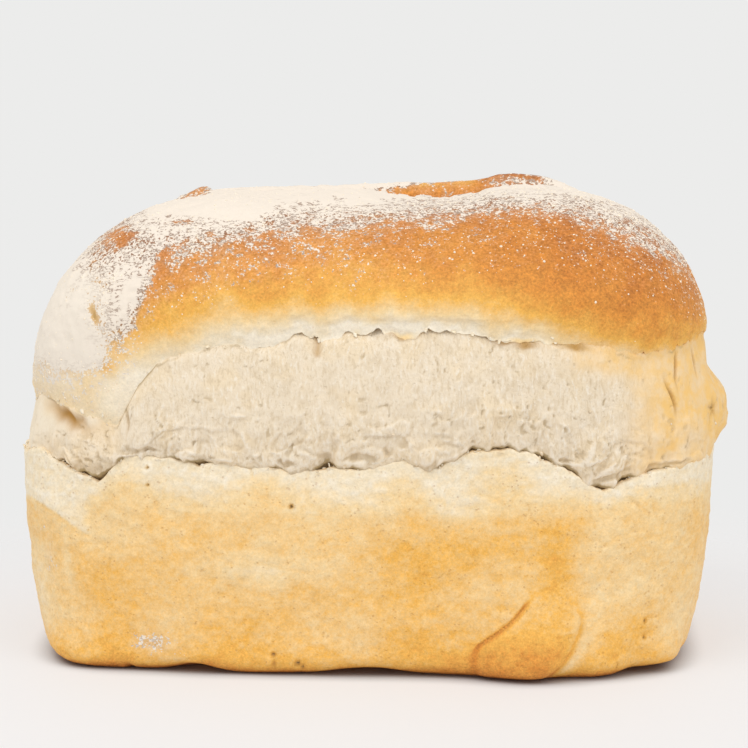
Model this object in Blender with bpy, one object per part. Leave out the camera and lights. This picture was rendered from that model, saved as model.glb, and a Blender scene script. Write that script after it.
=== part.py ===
"""White farmhouse loaf, whole and uncut, as it comes out of a bread tin.

The lower half took the shape of the tin. Above the rim the dough rose and tore open all round, so a
band of pale crumb parts the straight lower crust from the domed and slashed top crust. The loaf is
one solid in metres, +Z up, with its length along X and its front towards -Y. It stands on its flat
base, and the middle of that base is the origin.
"""

import itertools

import bmesh
import bpy
import numpy as np

MM = 0.001

# The loaf at the rim of the tin. Values for one quantity go by side: front, right end, back, left end
RIM_LENGTH = 224.5 * MM
RIM_DEPTH = 131 * MM
CORNER_POWER = 4.6

# The walls draw in below the height where they are upright, to a narrower base with rounded edges
WALL_UPRIGHT = 55 * MM
BASE_IN = (5 * MM, 8 * MM, 5.5 * MM, 7.5 * MM)
BASE_ROUND = 6 * MM
BASE_LIFT = 1.8 * MM

# The tear: height of its lower and upper edge at the front, and how deep it cuts in
TEAR_LOW = 67 * MM
TEAR_TOP = 104 * MM
CRUST_ROUND = 2.2 * MM
CREVICE = 3.6 * MM
BELLY = 3.4 * MM
UNDERCUT = 1.8 * MM

# The cap: height at the top, height and offset where it is widest, and how far its lip tucks in
CAP_HEIGHT = 148 * MM
CAP_WIDEST = (114 * MM, 106 * MM, 105 * MM, 87 * MM)
CAP_OFFSET = (2.5 * MM, -3.5 * MM, 1.0 * MM, -3.5 * MM)
CAP_TUCK = (2.4 * MM, 2.6 * MM, 2.2 * MM, 0.8 * MM)
TUCK_HEIGHT = 9 * MM
CAP_POWER = (2.1, 1.9, 2.1, 2.0)

# The slash along the top: its ends, its line, and the lip that opened up behind it
SLASH_LEFT = -58 * MM
SLASH_RIGHT = 66 * MM
SLASH_LINE = 5 * MM
SLASH_WIDTH = 7.5 * MM
SLASH_DEPTH = 5 * MM
SLASH_LIP = 4.6 * MM

# A tongue of dough folded over low on the front, and a lobe pushed out at the right end
FOLD_PLACE = (53 * MM, 6 * MM)
FOLD_SIZE = (14 * MM, 17 * MM)
FOLD_RAISED = 5.5 * MM
LOBE_PLACE = (140 * MM, 73 * MM)
LOBE_SIZE = (19 * MM, 7.5 * MM)
LOBE_RAISED = 5.2 * MM

# Unevenness of hand-shaped dough: size of the swellings and how far they stand out
SWELLINGS = ((52 * MM, 1.5 * MM), (17 * MM, 0.6 * MM))
RAGGED = 1.3 * MM

# How finely the surface is laid out before it is thinned, and the share of faces kept
CUTS = 119
FACES_KEPT = 0.0665

CRUST_COLOUR = (0.80, 0.53, 0.24, 1.0)

# Rows of the side from the base's edge up: zone of the profile reached at each share of the rows
ROW_SHARES = (0.0, 0.06, 0.30, 0.37, 0.60, 0.65, 0.73, 1.0)
BASE_EDGE, WALL, CRUST_LIP, CRUMB, CAP_LIP, CAP_SIDE, DOME, SHOULDER = range(8)
SHOULDER_TURN = np.radians(38)


def bump(value, middle, width):
    """Smooth hill of height 1 round a middle."""
    return np.exp(-(((value - middle) / width) ** 2))


def rise(value, middle, width):
    """Smooth step from 0 to 1 round a middle."""
    return 0.5 + 0.5 * np.tanh((value - middle) / width)


def noise(points, cell, seed):
    """Smooth noise between -1 and 1: seeded values on a cubic lattice, blended between its corners."""
    table = np.random.default_rng(seed).uniform(-1, 1, (32, 32, 32))
    place = points / cell
    low = np.floor(place).astype(int)
    blend = place - low
    blend = blend * blend * (3 - 2 * blend)
    total = np.zeros(len(points))
    for corner in itertools.product((0, 1), repeat=3):
        weight = np.prod(np.where(corner, blend, 1 - blend), axis=1)
        x, y, z = ((low + corner) % 32).T
        total += weight * table[x, y, z]
    return total


def outline(edge):
    """Point of a rounded outline, from -1 to 1 both ways, in the direction of a place on a square's edge."""
    reach = (np.abs(edge) ** CORNER_POWER).sum(axis=1) ** (-1 / CORNER_POWER)
    return edge * reach[:, None]


def by_side(unit, values):
    """Value that changes round the outline from front to right end, back and left end."""
    front, right, back, left = values
    across = np.abs(unit) ** CORNER_POWER
    return across[:, 0] * np.where(unit[:, 0] > 0, right, left) + across[:, 1] * np.where(
        unit[:, 1] < 0, front, back
    )


def rim_distance(edge):
    """Distance along the rim from the front's middle, growing to the right."""
    turn = np.linspace(-np.pi, np.pi, 4001)
    rim = outline(np.stack([np.sin(turn), -np.cos(turn)], axis=1)) * (RIM_LENGTH / 2, RIM_DEPTH / 2)
    length = np.concatenate([[0], np.cumsum(np.hypot(*np.diff(rim, axis=0).T))])
    return np.interp(np.arctan2(edge[:, 0], -edge[:, 1]), turn, length - length[-1] / 2)


def tear_edges(along, rim):
    """Heights of the tear's lower and upper edge at a distance along the rim."""
    low = (
        TEAR_LOW
        + 5.0 * MM * bump(along, 45 * MM, 18 * MM)
        - 9.0 * MM * bump(along, 79 * MM, 10 * MM)
        - 6.5 * MM * bump(along, -82 * MM, 6 * MM)
        + 2.5 * MM * bump(along, -66 * MM, 9 * MM)
        + RAGGED * noise(rim, 11 * MM, 21)
    )
    top = (
        TEAR_TOP
        + 4.5 * MM * bump(along, 18 * MM, 38 * MM)
        - 20 * MM * (1 - rise(along, -69 * MM, 4 * MM))
        - 5 * MM * bump(along, -77 * MM, 7 * MM)
        + 12 * MM * (1 - rise(along, -205 * MM, 14 * MM))
        - 8 * MM * rise(along, 205 * MM, 25 * MM)
        + RAGGED * noise(rim, 9 * MM, 22)
    )
    return low, top


def base_lift(along):
    """How far the base's edge stands clear of the table at a distance along the rim."""
    return BASE_LIFT * (
        bump(along, -50 * MM, 11 * MM)
        + 1.1 * bump(along, 9 * MM, 17 * MM)
        + 0.6 * bump(along, -150 * MM, 20 * MM)
        + 0.8 * bump(along, 250 * MM, 30 * MM)
    )


def side_profile(unit, along, rim, zone):
    """Offset from the rim's outline, height, and share of the way out from the ridge, for each row."""
    low, top = tear_edges(along, rim)
    cap = by_side(unit, CAP_OFFSET)
    tuck = by_side(unit, CAP_TUCK)
    widest = np.maximum(by_side(unit, CAP_WIDEST), top + 2 * MM)
    power = by_side(unit, CAP_POWER)
    narrow = np.clip((top - low) / (TEAR_TOP - TEAR_LOW), 0.25, 1.2)

    part = np.clip(zone - np.floor(zone), 0, 1)
    part = np.where(zone >= SHOULDER, 1.0, part)
    quarter = part * np.pi / 2
    wall_top = low - CRUST_ROUND
    crumb_low = -CREVICE * (0.45 + 0.55 * narrow)
    crumb_top = cap - tuck - UNDERCUT * narrow
    belly = BELLY * narrow * np.sin(np.pi * part) ** 0.5
    side_height = top + (widest - top) * part
    tucked = tuck * np.clip(1 - (side_height - top) / TUCK_HEIGHT, 0, 1) ** 2

    turn = part * SHOULDER_TURN
    base_edge = BASE_ROUND * (1 - np.cos(quarter))
    pieces = {
        BASE_EDGE: (-BASE_ROUND * (1 - np.sin(quarter)), base_edge),
        WALL: (0 * part, BASE_ROUND + (wall_top - BASE_ROUND) * part),
        CRUST_LIP: (crumb_low * (1 - np.cos(quarter)), wall_top + CRUST_ROUND * np.sin(quarter)),
        CRUMB: (crumb_low + (crumb_top - crumb_low) * part + belly, low + (top - low) * part),
        CAP_LIP: (crumb_top + (cap - tuck - crumb_top) * part, top - 0.4 * MM * np.sin(2 * quarter)),
        CAP_SIDE: (cap - tucked, side_height),
    }
    offset, height = cap.copy(), widest.copy()
    for piece, (piece_offset, piece_height) in pieces.items():
        here = np.floor(zone) == piece
        offset[here], height[here] = piece_offset[here], piece_height[here]
    below = np.clip(1 - height / WALL_UPRIGHT, 0, 1)
    offset -= by_side(unit, BASE_IN) * below**2
    height += base_lift(along) * np.clip(1 - height / (10 * MM), 0, 1) ** 2

    outward = np.where(zone >= DOME, np.cos(turn) ** (2 / power), 1.0)
    return offset, height, outward, widest, power


def slash(x, y):
    """Height of the slash's groove and of the lip behind it, over the top of the loaf."""
    line = SLASH_LINE + 2.0 * MM * np.sin(x / (31 * MM)) + 1.2 * MM * np.sin(x / (9 * MM))
    open_here = rise(x, SLASH_LEFT, 9 * MM) * (1 - rise(x, SLASH_RIGHT, 8 * MM))
    lip = SLASH_LIP * (0.35 + 0.65 * rise(x, 22 * MM, 14 * MM))
    groove = SLASH_DEPTH * bump(y, line, SLASH_WIDTH)
    raised = lip * bump(y, line + 15 * MM, 10.5 * MM)
    return open_here * (raised - groove)


def loaf_surface(cube):
    """Moves the points of a cube from -1 to 1 onto the loaf: its sides to the walls, its faces to base and top."""
    ridge = (RIM_LENGTH - RIM_DEPTH) / 2
    size = np.array([RIM_LENGTH / 2, RIM_DEPTH / 2])
    flat = cube[:, :2] * size
    heart = np.stack([np.clip(flat[:, 0], -ridge, ridge), np.zeros(len(cube))], axis=1)
    spoke = flat - heart
    share = np.abs(spoke).max(axis=1) / size[1]
    edge = (heart + spoke / np.maximum(share, 1e-9)[:, None]) / size
    unit = outline(edge)
    along = rim_distance(edge)
    rim = np.column_stack([unit * size, np.zeros(len(cube))])

    side = share > 1 - 1e-9
    zone = np.where(side, np.interp((cube[:, 2] + 1) / 2, ROW_SHARES, range(8)), SHOULDER)
    zone = np.where(~side & (cube[:, 2] < 0), BASE_EDGE, zone)
    offset, height, outward, widest, power = side_profile(unit, along, rim, zone)
    outward = np.where(side, outward, outward * share)
    outward = np.where(~side & (cube[:, 2] < 0), share, outward)

    low_front = bump(along, FOLD_PLACE[0], FOLD_SIZE[0]) * bump(height, FOLD_PLACE[1], FOLD_SIZE[1])
    lobe = bump(along, LOBE_PLACE[0], LOBE_SIZE[0]) * bump(height, LOBE_PLACE[1], LOBE_SIZE[1])
    offset += FOLD_RAISED * low_front + LOBE_RAISED * lobe

    plan = unit * (size + offset[:, None])
    for number, (cell, swell) in enumerate(SWELLINGS):
        lump = noise(np.column_stack([plan, height]), cell, 31 + number)
        plan += unit * (swell * lump * np.where(height > 1 * MM, 1, 0.3))[:, None]
    plan = heart + outward[:, None] * (plan - heart)

    under = ~side & (cube[:, 2] < 0)
    height[under] *= np.clip((share[under] - 0.84) / 0.16, 0, 1) ** 2

    crest = CAP_HEIGHT + 1.5 * MM * rise(plan[:, 0], 35 * MM, 15 * MM)
    crest += 1.2 * MM * bump(plan[:, 0], -62 * MM, 20 * MM)
    domed = (1 - np.clip(outward, 0, 1) ** power) ** (1 / power)
    height = np.where(zone >= DOME, widest + (crest - widest) * domed, height)
    points = np.column_stack([plan, height])
    for number, (cell, swell) in enumerate(SWELLINGS):
        points[:, 2] += 0.8 * swell * domed * noise(points, cell, 41 + number) * (zone >= DOME)
    points[:, 2] += slash(points[:, 0], points[:, 1]) * (zone >= DOME) * (domed > 0.5)
    return points


def bread_material():
    """Baked crust."""
    material = bpy.data.materials.new("bread_crust")
    material.use_nodes = True
    shader = material.node_tree.nodes["Principled BSDF"]
    shader.inputs["Base Color"].default_value = CRUST_COLOUR
    shader.inputs["Roughness"].default_value = 0.85
    shader.inputs["Metallic"].default_value = 0.0
    material.diffuse_color = CRUST_COLOUR
    return material


def make_loaf(collection):
    """The loaf: a finely divided cube shaped by the loaf's surface, then thinned where it is smooth."""
    grid = bmesh.new()
    bmesh.ops.create_cube(grid, size=2)
    bmesh.ops.subdivide_edges(grid, edges=grid.edges, cuts=CUTS, use_grid_fill=True)
    mesh = bpy.data.meshes.new("loaf")
    grid.to_mesh(mesh)
    grid.free()

    places = np.empty(len(mesh.vertices) * 3)
    mesh.vertices.foreach_get("co", places)
    mesh.vertices.foreach_set("co", loaf_surface(places.reshape(-1, 3)).ravel())

    loaf = bpy.data.objects.new("loaf", mesh)
    collection.objects.link(loaf)
    thin = loaf.modifiers.new("thin", "DECIMATE")
    thin.ratio = FACES_KEPT
    thin.use_collapse_triangulate = True
    bpy.context.view_layer.objects.active = loaf
    bpy.ops.object.modifier_apply(modifier=thin.name)

    places = np.empty(len(mesh.vertices) * 3)
    mesh.vertices.foreach_get("co", places)
    places = places.reshape(-1, 3)
    middle = (places.min(axis=0) + places.max(axis=0)) / 2
    places -= (middle[0], middle[1], places[:, 2].min())
    mesh.vertices.foreach_set("co", places.ravel())
    mesh.materials.append(bread_material())
    mesh.shade_smooth()
    mesh.update()
    return loaf


def main():
    for thing in list(bpy.data.objects):
        bpy.data.objects.remove(thing)
    collection = bpy.data.collections.new("white_farmhouse_loaf")
    bpy.context.scene.collection.children.link(collection)
    make_loaf(collection)


if __name__ == "__main__":
    main()
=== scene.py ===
"""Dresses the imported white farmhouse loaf: lower crust, torn crumb, floured top crust, and the loose
flakes, crumbs and flour on them, on a pale floor in soft light.

Every surface of the loaf is worked out with numpy from a few named sizes, as a function of the
distance along the rim and of the height, or of two places on a grid over the top. The functions
that shape the loaf work in millimetres; make_piece turns their places into metres.
"""

import itertools
from types import SimpleNamespace

import bmesh
import bpy
import numpy as np
from bpy.props import FloatProperty, FloatVectorProperty, IntProperty, PointerProperty
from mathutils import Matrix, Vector


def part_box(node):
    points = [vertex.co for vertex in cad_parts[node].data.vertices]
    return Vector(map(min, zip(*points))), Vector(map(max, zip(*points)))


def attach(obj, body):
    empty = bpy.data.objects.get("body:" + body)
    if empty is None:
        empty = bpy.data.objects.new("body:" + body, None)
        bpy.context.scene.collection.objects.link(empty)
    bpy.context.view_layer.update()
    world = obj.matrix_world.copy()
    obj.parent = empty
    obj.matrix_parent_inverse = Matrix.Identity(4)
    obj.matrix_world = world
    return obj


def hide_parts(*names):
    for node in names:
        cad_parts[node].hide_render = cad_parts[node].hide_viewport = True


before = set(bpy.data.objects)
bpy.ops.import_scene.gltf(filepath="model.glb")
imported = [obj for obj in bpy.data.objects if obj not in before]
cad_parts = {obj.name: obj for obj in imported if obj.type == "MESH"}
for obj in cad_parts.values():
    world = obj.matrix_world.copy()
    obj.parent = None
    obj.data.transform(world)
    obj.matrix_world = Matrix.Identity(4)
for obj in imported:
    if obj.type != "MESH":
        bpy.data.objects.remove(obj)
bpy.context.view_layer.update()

bl_info = {
    "name": "White farmhouse loaf",
    "version": (1, 0, 0),
    "blender": (4, 5, 0),
    "location": "3D View > Sidebar > Loaf",
    "description": "Models a tin loaf with a torn side and a floured top",
    "category": "Add Mesh",
}

# A millimetre in metres
MM = 0.001

# How square the loaf's outline is, seen from above
CORNER_POWER = 4.6

# Number of places at which the rim is measured, and of values on an edge of the noise's lattice
RIM_PLACES, LATTICE = 4001, 32

# Distance in millimetres between two columns at the front and at the back
CRUST_STEPS, CRUMB_STEPS = (0.56, 1.3), (0.5, 0.9)

# Number of rows across the base, round an edge, up the wall and up the crumb
BASE_ROWS, ROUND_ROWS, WALL_ROWS, CRUMB_ROWS = 12, 7, 93, 90

# Number of the cap's rows over the dome and down the side, for each direction, and along its ridge
END_ROWS, FRONT_ROWS, BACK_ROWS, RIDGE_ROWS = (104, 22), (112, 30), (72, 18), 120

# Names of the four values that change round the loaf
SIDES = "front, right end, back, left end"


def srgb(red, green, blue):
    """Linear colour of a display colour from 0 to 255."""
    part = np.array([red, green, blue]) / 255
    return tuple(np.where(part <= 0.04045, part / 12.92, ((part + 0.055) / 1.055) ** 2.4))


def length(name, description, default):
    """A length in metres, as a property."""
    return FloatProperty(name=name, description=description, default=default, unit="LENGTH")


def lengths_by_side(name, description, default):
    """Four lengths in metres, as one property."""
    return FloatVectorProperty(
        name=name, description=f"{description}: {SIDES}", default=default, size=4, unit="LENGTH"
    )


def colour(name, description, default):
    """A linear colour, as a property."""
    return FloatVectorProperty(
        name=name, description=description, default=default, size=3, subtype="COLOR", min=0, max=1
    )


class LoafSizes(bpy.types.PropertyGroup):
    """The loaf's sizes and the numbers of its loose things"""

    rim_length: length("Rim length", "Length of the loaf at the rim of the tin", 224.5 * MM)
    rim_depth: length("Rim depth", "Depth of the loaf at the rim of the tin", 131 * MM)
    wall_upright: length("Upright height", "Height from which the walls are upright", 55 * MM)
    base_in: lengths_by_side(
        "Base drawn in", "How far the base is drawn in", (5 * MM, 8 * MM, 5.5 * MM, 7.5 * MM)
    )
    base_round: length("Base edge", "Radius of the base's edge", 6 * MM)
    base_lift: length("Base lift", "How far the base's edge rises off the table", 1.8 * MM)
    tear_low: length("Tear, lower edge", "Height of the tear's lower edge", 67 * MM)
    tear_top: length("Tear, upper edge", "Height of the tear's upper edge", 104 * MM)
    crust_round: length("Crust lip", "Radius of the lower crust's upper edge", 1.1 * MM)
    crevice: length("Crevice", "Depth of the crevice under the crumb", 1.7 * MM)
    belly: length("Crumb belly", "How far the crumb swells out between its edges", 2.5 * MM)
    undercut: length("Undercut", "How far the crumb lies behind the cap's lip", 0.75 * MM)
    cap_height: length("Cap height", "Height of the top, without the slash's lip", 148 * MM)
    cap_widest: lengths_by_side(
        "Cap widest", "Height where the cap is widest", (114 * MM, 106 * MM, 105 * MM, 87 * MM)
    )
    cap_offset: lengths_by_side(
        "Cap overhang", "How far the cap overhangs the rim", (2.5 * MM, -3.5 * MM, MM, -3.5 * MM)
    )
    cap_tuck: lengths_by_side(
        "Lip tuck", "How far the cap's lip tucks in", (2.2 * MM, 1.0 * MM, 2.2 * MM, 0.8 * MM)
    )
    slash_depth: length("Slash depth", "Depth of the slash along the top", 5 * MM)
    slash_lip: length("Slash lip", "Height of the lip behind the slash", 4.6 * MM)
    fold_raised: length("Fold", "How far the folded tongue of dough stands out", 5.5 * MM)
    lobe_raised: length("Lobe", "How far the lobe at the right end stands out", 4.5 * MM)
    ragged: length("Raggedness", "Unevenness of the tear's edges", 1.3 * MM)
    flour_grains: IntProperty(
        name="Flour grains", description="Number of loose grains of flour", default=9500, min=0
    )
    flakes: IntProperty(
        name="Flakes", description="Number of flakes of crust along the tear", default=90, min=0
    )
    crumbs: IntProperty(
        name="Crumbs", description="Number of loose crumbs along the tear", default=420, min=0
    )


class LoafColours(bpy.types.PropertyGroup):
    """The colours of the loaf and of the floor"""

    torn_edge: colour("Torn edge", "Crust torn thin along the lip", srgb(252, 241, 220))
    pale: colour("Pale crust", "Crust that hardly browned", srgb(246, 230, 200))
    cream: colour("Cream crust", "Crust at the edge of the browning", srgb(246, 216, 163))
    gold: colour("Golden crust", "Crust on the walls", srgb(242, 184, 86))
    amber: colour("Amber crust", "Crust low on the cap", srgb(221, 147, 60))
    brown: colour("Brown crust", "Crust on the cap", srgb(202, 124, 46))
    dark: colour("Dark crust", "The most browned crust", srgb(158, 88, 34))
    crumb: colour("Crumb", "Torn crumb", srgb(243, 227, 202))
    # The ridge colour is a painted highlight; the hollow colour is painted shade in hollows and along
    # strands, and also the crumb's own darker tone in patches.
    crumb_light: colour("Crumb ridges", "Crumb on its ridges", srgb(249, 237, 218))
    crumb_shade: colour("Crumb hollows", "Crumb in its hollows", srgb(216, 194, 160))
    # Painted shade in the crumb's pits, cuts, caves, splits and specks.
    crumb_pit_shade: colour("Crumb pits", "Crumb in its pits", srgb(190, 166, 128))
    crumb_skin: colour("Crumb skin", "Stretched skin at the end of the tear", srgb(250, 205, 128))
    # Painted shade in the crevice, under the cap's lip and in the crust's deepest pores and hollows.
    crevice: colour("Crevice", "Deep in the crevice", srgb(160, 134, 84))
    # Painted shade on the crust's pores, creases and crevice edge, and in strips under the cap's lip; it also
    # browns the crumb's cracks and the corner's cave.
    cave: colour("Cave", "Browned hollows of the crumb", srgb(186, 140, 70))
    # Painted shade at the bottom of the crust's open pores.
    pore: colour("Pore", "Bottom of an open pore in the crust", srgb(72, 46, 22))
    flour: colour("Flour", "Flour on the top", srgb(243, 233, 219))
    flour_grain: colour("Flour grains", "Loose grains of flour", srgb(255, 240, 217))
    flour_film: colour("Flour film", "Thin flour through which the crust shows", srgb(238, 208, 184))
    flour_gap: colour("Flour gaps", "Shadowed crust between grains of flour", srgb(132, 94, 70))
    floor: colour("Floor", "Floor and backdrop", srgb(238, 236, 236))


def bump(value, middle, width):
    """Smooth hill of height 1 round a middle."""
    return np.exp(-(((value - middle) / width) ** 2))


def rise(value, middle, width):
    """Smooth step from 0 to 1 round a middle."""
    return 0.5 + 0.5 * np.tanh((value - middle) / width)


def fall(value, middle, width):
    """Smooth step from 1 to 0 round a middle."""
    return 1 - rise(value, middle, width)


def between(value, start, start_width, end, end_width):
    """Smooth plateau of height 1 from a start to an end, where each step has a width of its own."""
    return rise(value, start, start_width) * fall(value, end, end_width)


def hills(value, table):
    """Sum of smooth hills; each has a height, a middle and a width."""
    return sum(high * bump(value, middle, width) for high, middle, width in table)


def spots(along, height, table):
    """Sum of smooth round spots; each has a strength, a place and width along, and a place and width up."""
    return sum(
        share * bump(along, place, wide) * bump(height, up, tall) for share, place, wide, up, tall in table
    )


def through(place, corners):
    """Value at a place on straight stretches from corner to corner, each a place and a value."""
    return np.interp(place, *np.transpose(corners))


def noise(places, cell, seed):
    """Smooth noise between -1 and 1: seeded values on a lattice, blended between its eight corners.

    The cell may have a size for each axis, which stretches the noise.
    """
    table = np.random.default_rng(seed).uniform(-1, 1, (LATTICE,) * 3)
    place = places / np.asarray(cell)
    low = np.floor(place).astype(int)
    blend = place - low
    blend = blend * blend * (3 - 2 * blend)
    total = np.zeros(places.shape[:-1])
    for corner in itertools.product((0, 1), repeat=3):
        weight = np.prod(np.where(corner, blend, 1 - blend), axis=-1)
        x, y, z = np.moveaxis((low + corner) % LATTICE, -1, 0)
        total += weight * table[x, y, z]
    return total


def noises(places, *layers):
    """Sum of noises; each has a strength, a cell and a seed."""
    return sum(strength * noise(places, cell, seed) for strength, cell, seed in layers)


def ridges(places, cell, seed):
    """Noise folded at its middle into sharp ridges of height 1."""
    return 1 - np.abs(noise(places, cell, seed))


def warped(places, cell, reach, seed):
    """Places pushed about by smooth noise, so that a pattern laid over them wanders."""
    push = np.stack([noise(places, cell, seed + axis) for axis in range(3)], axis=-1)
    return places + reach * push


def hollows(along, height, around, cell, radius, share, seed):
    """Depth from 0 to 1 of round hollows scattered one to a cell, in a share of the cells.

    Cells are counted along the rim and up. Each has a hollow at a random place in it, whose depth
    falls off smoothly to nothing at its radius. The radius differs along and up.
    """
    step = around / round(around / cell[0]), cell[1]
    count = round(around / step[0])
    rows = 128
    random = np.random.default_rng(seed).random((count, rows, 4))
    column, row = np.floor(along / step[0]).astype(int), np.floor(height / step[1]).astype(int)
    depth = np.zeros(np.broadcast(along, height).shape)
    for right, up in itertools.product((-1, 0, 1), repeat=2):
        here = random[(column + right) % count, (row + up) % rows]
        x = (column + right + here[..., 0]) * step[0] - along
        z = (row + up + here[..., 1]) * step[1] - height
        size = 0.5 + 0.5 * here[..., 2]
        far = (x / radius[0]) ** 2 + (z / radius[1]) ** 2
        hole = np.clip(1 - far / size**2, 0, 1) ** 1.5 * size
        depth = np.maximum(depth, np.where(here[..., 3] < share, hole, 0))
    return depth


def outline(edge):
    """Point of a rounded outline, from -1 to 1 both ways, in the direction of a place on a square's edge."""
    reach = (np.abs(edge) ** CORNER_POWER).sum(axis=-1, keepdims=True) ** (-1 / CORNER_POWER)
    return edge * reach


def by_side(unit, values):
    """Value that changes round the outline from front to right end, back and left end."""
    front, right, back, left = values
    across, deep = np.moveaxis(np.abs(unit) ** CORNER_POWER, -1, 0)
    return across * np.where(unit[..., 0] > 0, right, left) + deep * np.where(unit[..., 1] < 0, front, back)


def half_size(sizes):
    """Half the rim's length and half its depth."""
    return np.array([sizes.rim_length / 2, sizes.rim_depth / 2])


def rim_table(sizes):
    """Turn from the front's middle and distance along the rim, for places close together all round."""
    turn = np.linspace(-np.pi, np.pi, RIM_PLACES)
    rim = outline(np.stack([np.sin(turn), -np.cos(turn)], axis=1)) * half_size(sizes)
    along = np.concatenate([[0], np.cumsum(np.hypot(*np.diff(rim, axis=0).T))])
    return turn, along - along[-1] / 2


def columns(sizes, front_step, back_step):
    """Distances along the rim, from the back's middle round to it again, closer together at the front.

    The number of columns to the millimetre changes smoothly from the front to the back.
    """
    half = rim_table(sizes)[1][-1]
    fine = np.linspace(-half, half, RIM_PLACES)
    nearness = fall(np.abs(fine), 0.48 * half, 20)
    density = nearness / front_step + (1 - nearness) / back_step
    count = np.concatenate([[0], np.cumsum((density[1:] + density[:-1]) / 2 * np.diff(fine))])
    total = int(count[-1])
    return np.interp(np.arange(total) / total * count[-1], count, fine)


def side_columns(sizes, front_step, back_step):
    """Distance along the rim, outline point and rim point of each column of a strip."""
    along = columns(sizes, front_step, back_step)
    turn, distance = rim_table(sizes)
    there = np.interp(along, distance, turn)
    unit = outline(np.stack([np.sin(there), -np.cos(there)], axis=-1))
    return along, unit, np.column_stack([unit * half_size(sizes), np.zeros(len(along))])


def ragged_edge(rim, size, cell, seed):
    """Unevenness of a torn edge: long waves, short waves and small teeth."""
    return size * noises(rim, (1, cell, seed), (0.55, 3.6, seed + 50), (0.38, 1.5, seed + 60))


def tear_edges(sizes, along, rim):
    """Heights of the tear's lower and upper edge at a distance along the rim.

    At the front both edges pass through the places that show; round the back they wander.
    """
    ragged = sizes.ragged * (1 + 0.9 * rise(np.abs(along), 125, 20))
    low = sizes.tear_low + ragged_edge(rim, ragged, 11, 21)
    top = sizes.tear_top - 20 * fall(along, -69, 4) + 12 * fall(along, -205, 14) - 8 * rise(along, 205, 25)
    top = top + ragged_edge(rim, ragged, 9, 22)
    shown = between(along, -112, 4, 112, 4)
    fine = noises(rim, (0.35, 2.4, 23), (0.25, 1.1, 24))
    low = low + shown * (through(along, LOWER_EDGE) + fine - low)
    top = top + shown * (through(along, UPPER_EDGE) + fine - top)
    return low, top


# Corners of the tear's edges at the front: distance along the rim and height
LOWER_EDGE = (
    (-118, 69), (-105, 70), (-98, 66.5), (-93, 65), (-87, 63.2), (-82, 61), (-79.5, 63), (-76, 67), (-71, 70),
    (-63, 69.6), (-51, 68), (-49, 67.2), (-44, 68.6), (-35, 66.8), (-29, 67.2), (-21, 65.6), (-13, 66),
    (-8, 67.2), (-2, 66.2), (6, 67.5), (14, 70), (19, 67.8), (25, 67.4), (29, 70.5), (35, 72.6), (46, 73.2),
    (53.5, 72.5), (57, 70), (61, 68.4), (66, 66.6), (70, 63.2), (76, 60.2), (81, 62), (88, 65), (95, 66.2),
    (102, 67), (109, 68), (118, 67),
)
UPPER_EDGE = (
    (-118, 88), (-103.5, 85.5), (-91, 83), (-84, 81), (-79, 79.5), (-75, 79), (-72.5, 84), (-68, 92.5),
    (-62, 99), (-50, 102.6), (-37, 105), (-32, 103.4), (-28, 103.6), (-22, 106), (-19, 108), (-12, 106.6),
    (-3, 108.6), (5, 107.6), (10, 109.4), (13, 108), (24, 109), (34, 109), (40, 106.6), (46, 107),
    (55, 107.4), (61, 105.4), (66, 105.4), (73, 104.6), (79, 102.6), (85, 101.6), (95, 102.6), (102, 102.6),
    (118, 103),
)


def base_lift(sizes, along):
    """How far the base's edge stands clear of the table at a distance along the rim."""
    lifts = (
        (1.4, -55, 8.5), (1.2, 3, 14), (0.5, 92, 5), (1.1, 103, 9), (0.6, -150, 20), (0.8, 250, 30),
        (0.5, -77, 1.6),
    )
    return sizes.base_lift * hills(along, lifts)


def swelling(plan, height, first_seed=31):
    """Unevenness of hand-shaped dough: broad and narrow swellings."""
    places = np.concatenate([plan, height[..., None]], axis=-1)
    return noises(places, (1.5, 52, first_seed), (0.6, 17, first_seed + 1))


def bulges(sizes, along, height):
    """How far the folded tongue on the front, the foot's facets and the right end's lobe push out."""
    fold = bump(along, 53, 14) * bump(height, 6, 17)
    facets = ((3.2, 78, 10, 0, 15), (4.6, -94, 16, 0, 12), (2.6, -42, 34, 0, 12), (3, 104, 8, 4, 9))
    lobe = bump(along, 140, 17) * np.exp(-(((height - 81.5) / 10) ** 4))
    return sizes.fold_raised * fold + spots(along, height, facets) + sizes.lobe_raised * lobe


def smooth_places(sizes, unit, along, offset, height):
    """Places on the loaf's side: the rim's outline grown by an offset and by the swellings there."""
    grown = offset + bulges(sizes, along, height)
    plan = unit * (half_size(sizes) + grown[..., None])
    pushed = swelling(plan, height) * np.where(height > 1, 1, 0.3)
    return np.concatenate([plan + unit * pushed[..., None], height[..., None]], axis=-1)


def tongue(along, height):
    """Distances inside the folded tongue from its left and from its right edge, negative outside.

    Both edges lean to the right; the left one is a crease that shows, the right one is soft.
    """
    return along - through(height, TONGUE_LEFT), through(height, TONGUE_RIGHT) - along


# Corners of the tongue's edges: height and distance along the rim
TONGUE_LEFT = (
    (0, 41), (1.5, 38.6), (5, 36.5), (9.3, 37.1), (11.7, 38.4), (15.4, 43.1), (18, 46.3), (20.8, 49.3),
    (26, 53.2), (30, 58),
)
TONGUE_RIGHT = (
    (0, 57.5), (2, 59.5), (6.3, 63.7), (9.9, 66.1), (16, 68.6), (21, 69.6), (24.5, 68), (27.5, 63.5),
    (29, 58),
)


def tongue_seam(along, height, width):
    """The creases round the tongue: sharp along its left edge, soft and weak along its right edge."""
    left, right = tongue(along, height)
    sharp = bump(left, -0.2, width) * between(height, 8.5, 1.5, 25.5, 1.2)
    round_base = bump(left, -0.2, 2 * width) * fall(height, 9, 1.5)
    soft = bump(right, -0.3, 1.8 * width) * fall(height, 23, 2)
    return np.maximum(sharp, 0.35 * round_base), soft


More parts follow.
